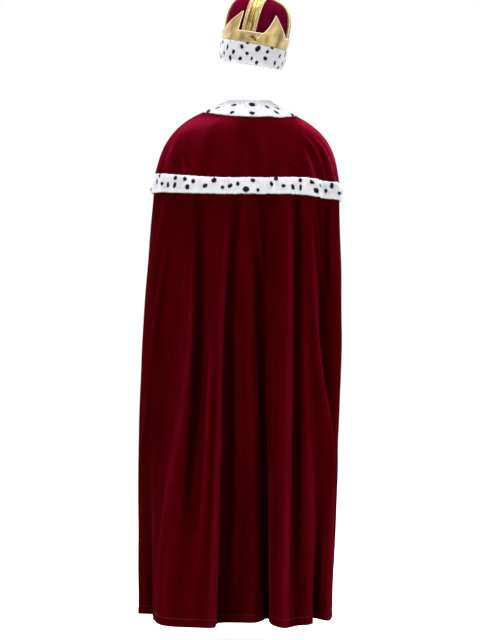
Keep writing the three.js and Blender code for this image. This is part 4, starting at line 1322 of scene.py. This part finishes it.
def joined(name, pieces):
    """Several meshes as one piece."""
    verts, faces, looks, marks = [], [], [], []
    base = 0
    for piece in pieces:
        mesh = piece.data
        points = np.empty(len(mesh.vertices) * 3)
        mesh.vertices.foreach_get("co", points)
        verts.append(points.reshape(-1, 3) / MM)
        faces += [tuple(base + v for v in face.vertices) for face in mesh.polygons]
        base += len(mesh.vertices)
        look = [m for m in mesh.materials if m][-1]
        if look not in looks:
            looks.append(look)
        marks += [looks.index(look)] * len(mesh.polygons)
        bpy.data.objects.remove(piece)
        bpy.data.meshes.remove(mesh)
    whole = new_object(name, np.concatenate(verts), faces, looks[0])
    for look in looks[1:]:
        whole.data.materials.append(look)
    whole.data.polygons.foreach_set("material_index", marks)
    return whole


def braids(index, name):
    """The two braids of an arch: a narrow ribbon with a zigzag cord between two rows of beads."""
    pieces, strings = [], []
    for side in (-1, 1):
        middle = side * (ARCH_WIDTH - BRAID_WIDTH) / 2
        sides = middle + np.linspace(-BRAID_WIDTH / 2, BRAID_WIDTH / 2, RIBBON_COLUMNS)
        shape = (len(BRAID_ROWS), len(sides))
        low = over_cap(index, BRAID_ROWS, sides, np.full(shape, BRAID_FOOT))
        high = over_cap(index, BRAID_ROWS, sides, np.full(shape, BRAID_FOOT + RIBBON_THICK))
        pieces.append(wall("ribbon", high, low, BRAID_GROUND))
        rows = np.linspace(*BRAID_SPAN, STRING_STEPS)
        outs = np.full((STRING_STEPS, 1), BRAID_FOOT + RIBBON_THICK + BEAD_RADIUS * BEAD_SUNK)
        for edge in (-BEAD_SIDE, BEAD_SIDE):
            strings.append(over_cap(index, rows, [middle + edge], outs)[:, 0])
        rows = np.linspace(*BRAID_SPAN, ZIGZAG_STEPS)
        swing = ZIGZAG_SWING * np.sin(np.arange(ZIGZAG_STEPS) * math.pi / 3 + 0.1)
        cord_out = [[BRAID_FOOT + RIBBON_THICK + ZIGZAG_LIFT]]
        path = np.array([over_cap(index, [t], [middle + s], cord_out)[0, 0] for t, s in zip(rows, swing)])
        pieces.append(tube("zigzag", path, ZIGZAG_RADIUS, ZIGZAG_SIDES, GOLD_BRAID))
    sizes = {"Pitch": BEAD_PITCH * MM, "Radius": BEAD_RADIUS * MM}
    pieces.append(along_paths("beads", strings, BEAD_TREE, sizes, True))
    piece = joined(f"crown_braids_{name}_beaded", pieces)
    carry(piece, "gold_braid", f"crown_braid_{name}_left", f"crown_braid_{name}_right")


BEAD_TREE = bead_tree(GOLD_BRAID)

FINIAL_RADIUS = 13
FINIAL_FOOT = 14
FINIAL_FOOT_HEIGHT = 2
FINIAL_START = -50  # degrees below its middle at which the ball begins on its foot
FINIAL_COLUMNS = 72
FINIAL_GATHERS = 18
FINIAL_GATHER = 0.07
BRAID_HEIGHT = 3  # the foot of the ball rests on the braids
FINIAL_SEAT = BRIM_HEIGHT + CAP_TOP + ARCH_LIFT + ARCH_THICK + SEAM + BRAID_HEIGHT + SEAM
# The round foot's radius and height, from the middle of its underside to where the ball begins
FOOT_PROFILE = (
    (2, 0), (FINIAL_FOOT - 0.5, 0), (FINIAL_FOOT, 0.5), (FINIAL_FOOT, 1.5), (FINIAL_FOOT - 0.5, 2),
    (9.5, 2.1),
)


def finial():
    """The padded ball on its round foot, gathered in at its underside."""
    turns = np.radians(np.linspace(0, 360, FINIAL_COLUMNS, endpoint=False))
    rise = FINIAL_FOOT_HEIGHT + SEAM - FINIAL_RADIUS * math.sin(math.radians(FINIAL_START))
    profile = list(FOOT_PROFILE)
    for angle in np.radians(np.linspace(FINIAL_START, 86, 26)):
        profile.append((FINIAL_RADIUS * math.cos(angle), rise + FINIAL_RADIUS * math.sin(angle)))
    rings = []
    for radius, z in profile:
        gather = FINIAL_GATHER * ease((rise + 6 - z) / 8) * (z >= FOOT_PROFILE[-1][1])
        reach = radius * (1 - gather * (0.5 + 0.5 * np.sin(turns * FINIAL_GATHERS)))
        height = np.full_like(turns, FINIAL_SEAT + z)
        rings.append(np.stack((reach * np.sin(turns), -reach * np.cos(turns), height), axis=1))
    ball = skin("crown_finial_ball", tilted(np.array(rings)), ARCH_CLOTH)
    give(ball.data, "hollow", np.full(len(ball.data.vertices), LEVEL_SHADE))
    carry(ball, "gold_cloth", "crown_finial")


brim()
cap()
strip()
for number, arch_name in enumerate(ARCH_NAMES):
    arch(number, arch_name)
    braids(number, arch_name)
finial()

# A pale floor, soft lights and the camera
CAMERA_AT = (-0.026, -4.2, -0.592)
LENS = 84.375
SENSOR_HEIGHT = 36
FLOOR_Z = -1.5
FLOOR_REACH = 8
ROOM_LIGHT = 0.43  # how strongly the white room lights what stands in it
ROBE_MIDDLE = (0, 0, -0.6)
# Each lamp's name, place, the point that it shines at, its width in metres and its power in watts
LAMPS = (
    ("key", (-2.6, -2.8, 0.8), ROBE_MIDDLE, 1.2, 84),
    ("fill", (3.0, -2.0, 0.2), ROBE_MIDDLE, 1.2, 60),
    ("top", (0.0, -0.2, 2.6), (0, 0, -0.2), 1.6, 200),
    ("back_left", (-2.6, 2.4, 0.8), ROBE_MIDDLE, 1.4, 40),
    ("back_right", (2.6, 2.6, 0.8), ROBE_MIDDLE, 1.4, 60),
)


def backdrop():
    look, tree, shader = mat("pale_paper")
    tone = noise_of(tree, object_point(tree), scale=3, detail=2)
    paper = ramp_of(tree, tone, (0.2, (0.93, 0.93, 0.93)), (0.8, (0.96, 0.96, 0.96)))
    feed(tree, shader.inputs["Base Color"], paper)
    set_sockets(shader, Roughness=0.9, Specular_IOR_Level=0.1)
    set_sockets(shader, Emission_Color=(1, 1, 1, 1), Emission_Strength=0.6)
    corners = np.array([(-1, -1, 0), (1, -1, 0), (1, 1, 0), (-1, 1, 0)]) * FLOOR_REACH + (0, 0, FLOOR_Z)
    new_object("floor", corners / MM, [(0, 1, 2, 3)], look, False)


def lamp(name, at, towards, width, power):
    data = bpy.data.lights.new(name, "AREA")
    data.shape = "DISK"
    data.size = width
    data.energy = power
    obj = linked(bpy.data.objects.new(name, data))
    obj.location = at
    obj.rotation_euler = (Vector(towards) - Vector(at)).to_track_quat("-Z", "Y").to_euler()


def white_room():
    world = bpy.data.worlds.new("white_room")
    world.use_nodes = True
    tree = world.node_tree
    ray = node(tree, "ShaderNodeLightPath")
    background = tree.nodes["Background"]
    background.inputs["Color"].default_value = (1, 1, 1, 1)
    feed(tree, background.inputs["Strength"], range_of(tree, ray.outputs["Is Camera Ray"], ROOM_LIGHT, 1.0))
    bpy.context.scene.world = world


def camera():
    data = bpy.data.cameras.new("camera")
    data.sensor_fit = "VERTICAL"
    data.sensor_height = SENSOR_HEIGHT
    data.lens = LENS
    view = linked(bpy.data.objects.new("camera", data))
    view.location = CAMERA_AT
    view.rotation_euler = (math.pi / 2, 0, 0)
    bpy.context.scene.camera = view


backdrop()
for each in LAMPS:
    lamp(*each)
white_room()
camera()
bpy.context.scene.view_settings.view_transform = "Standard"
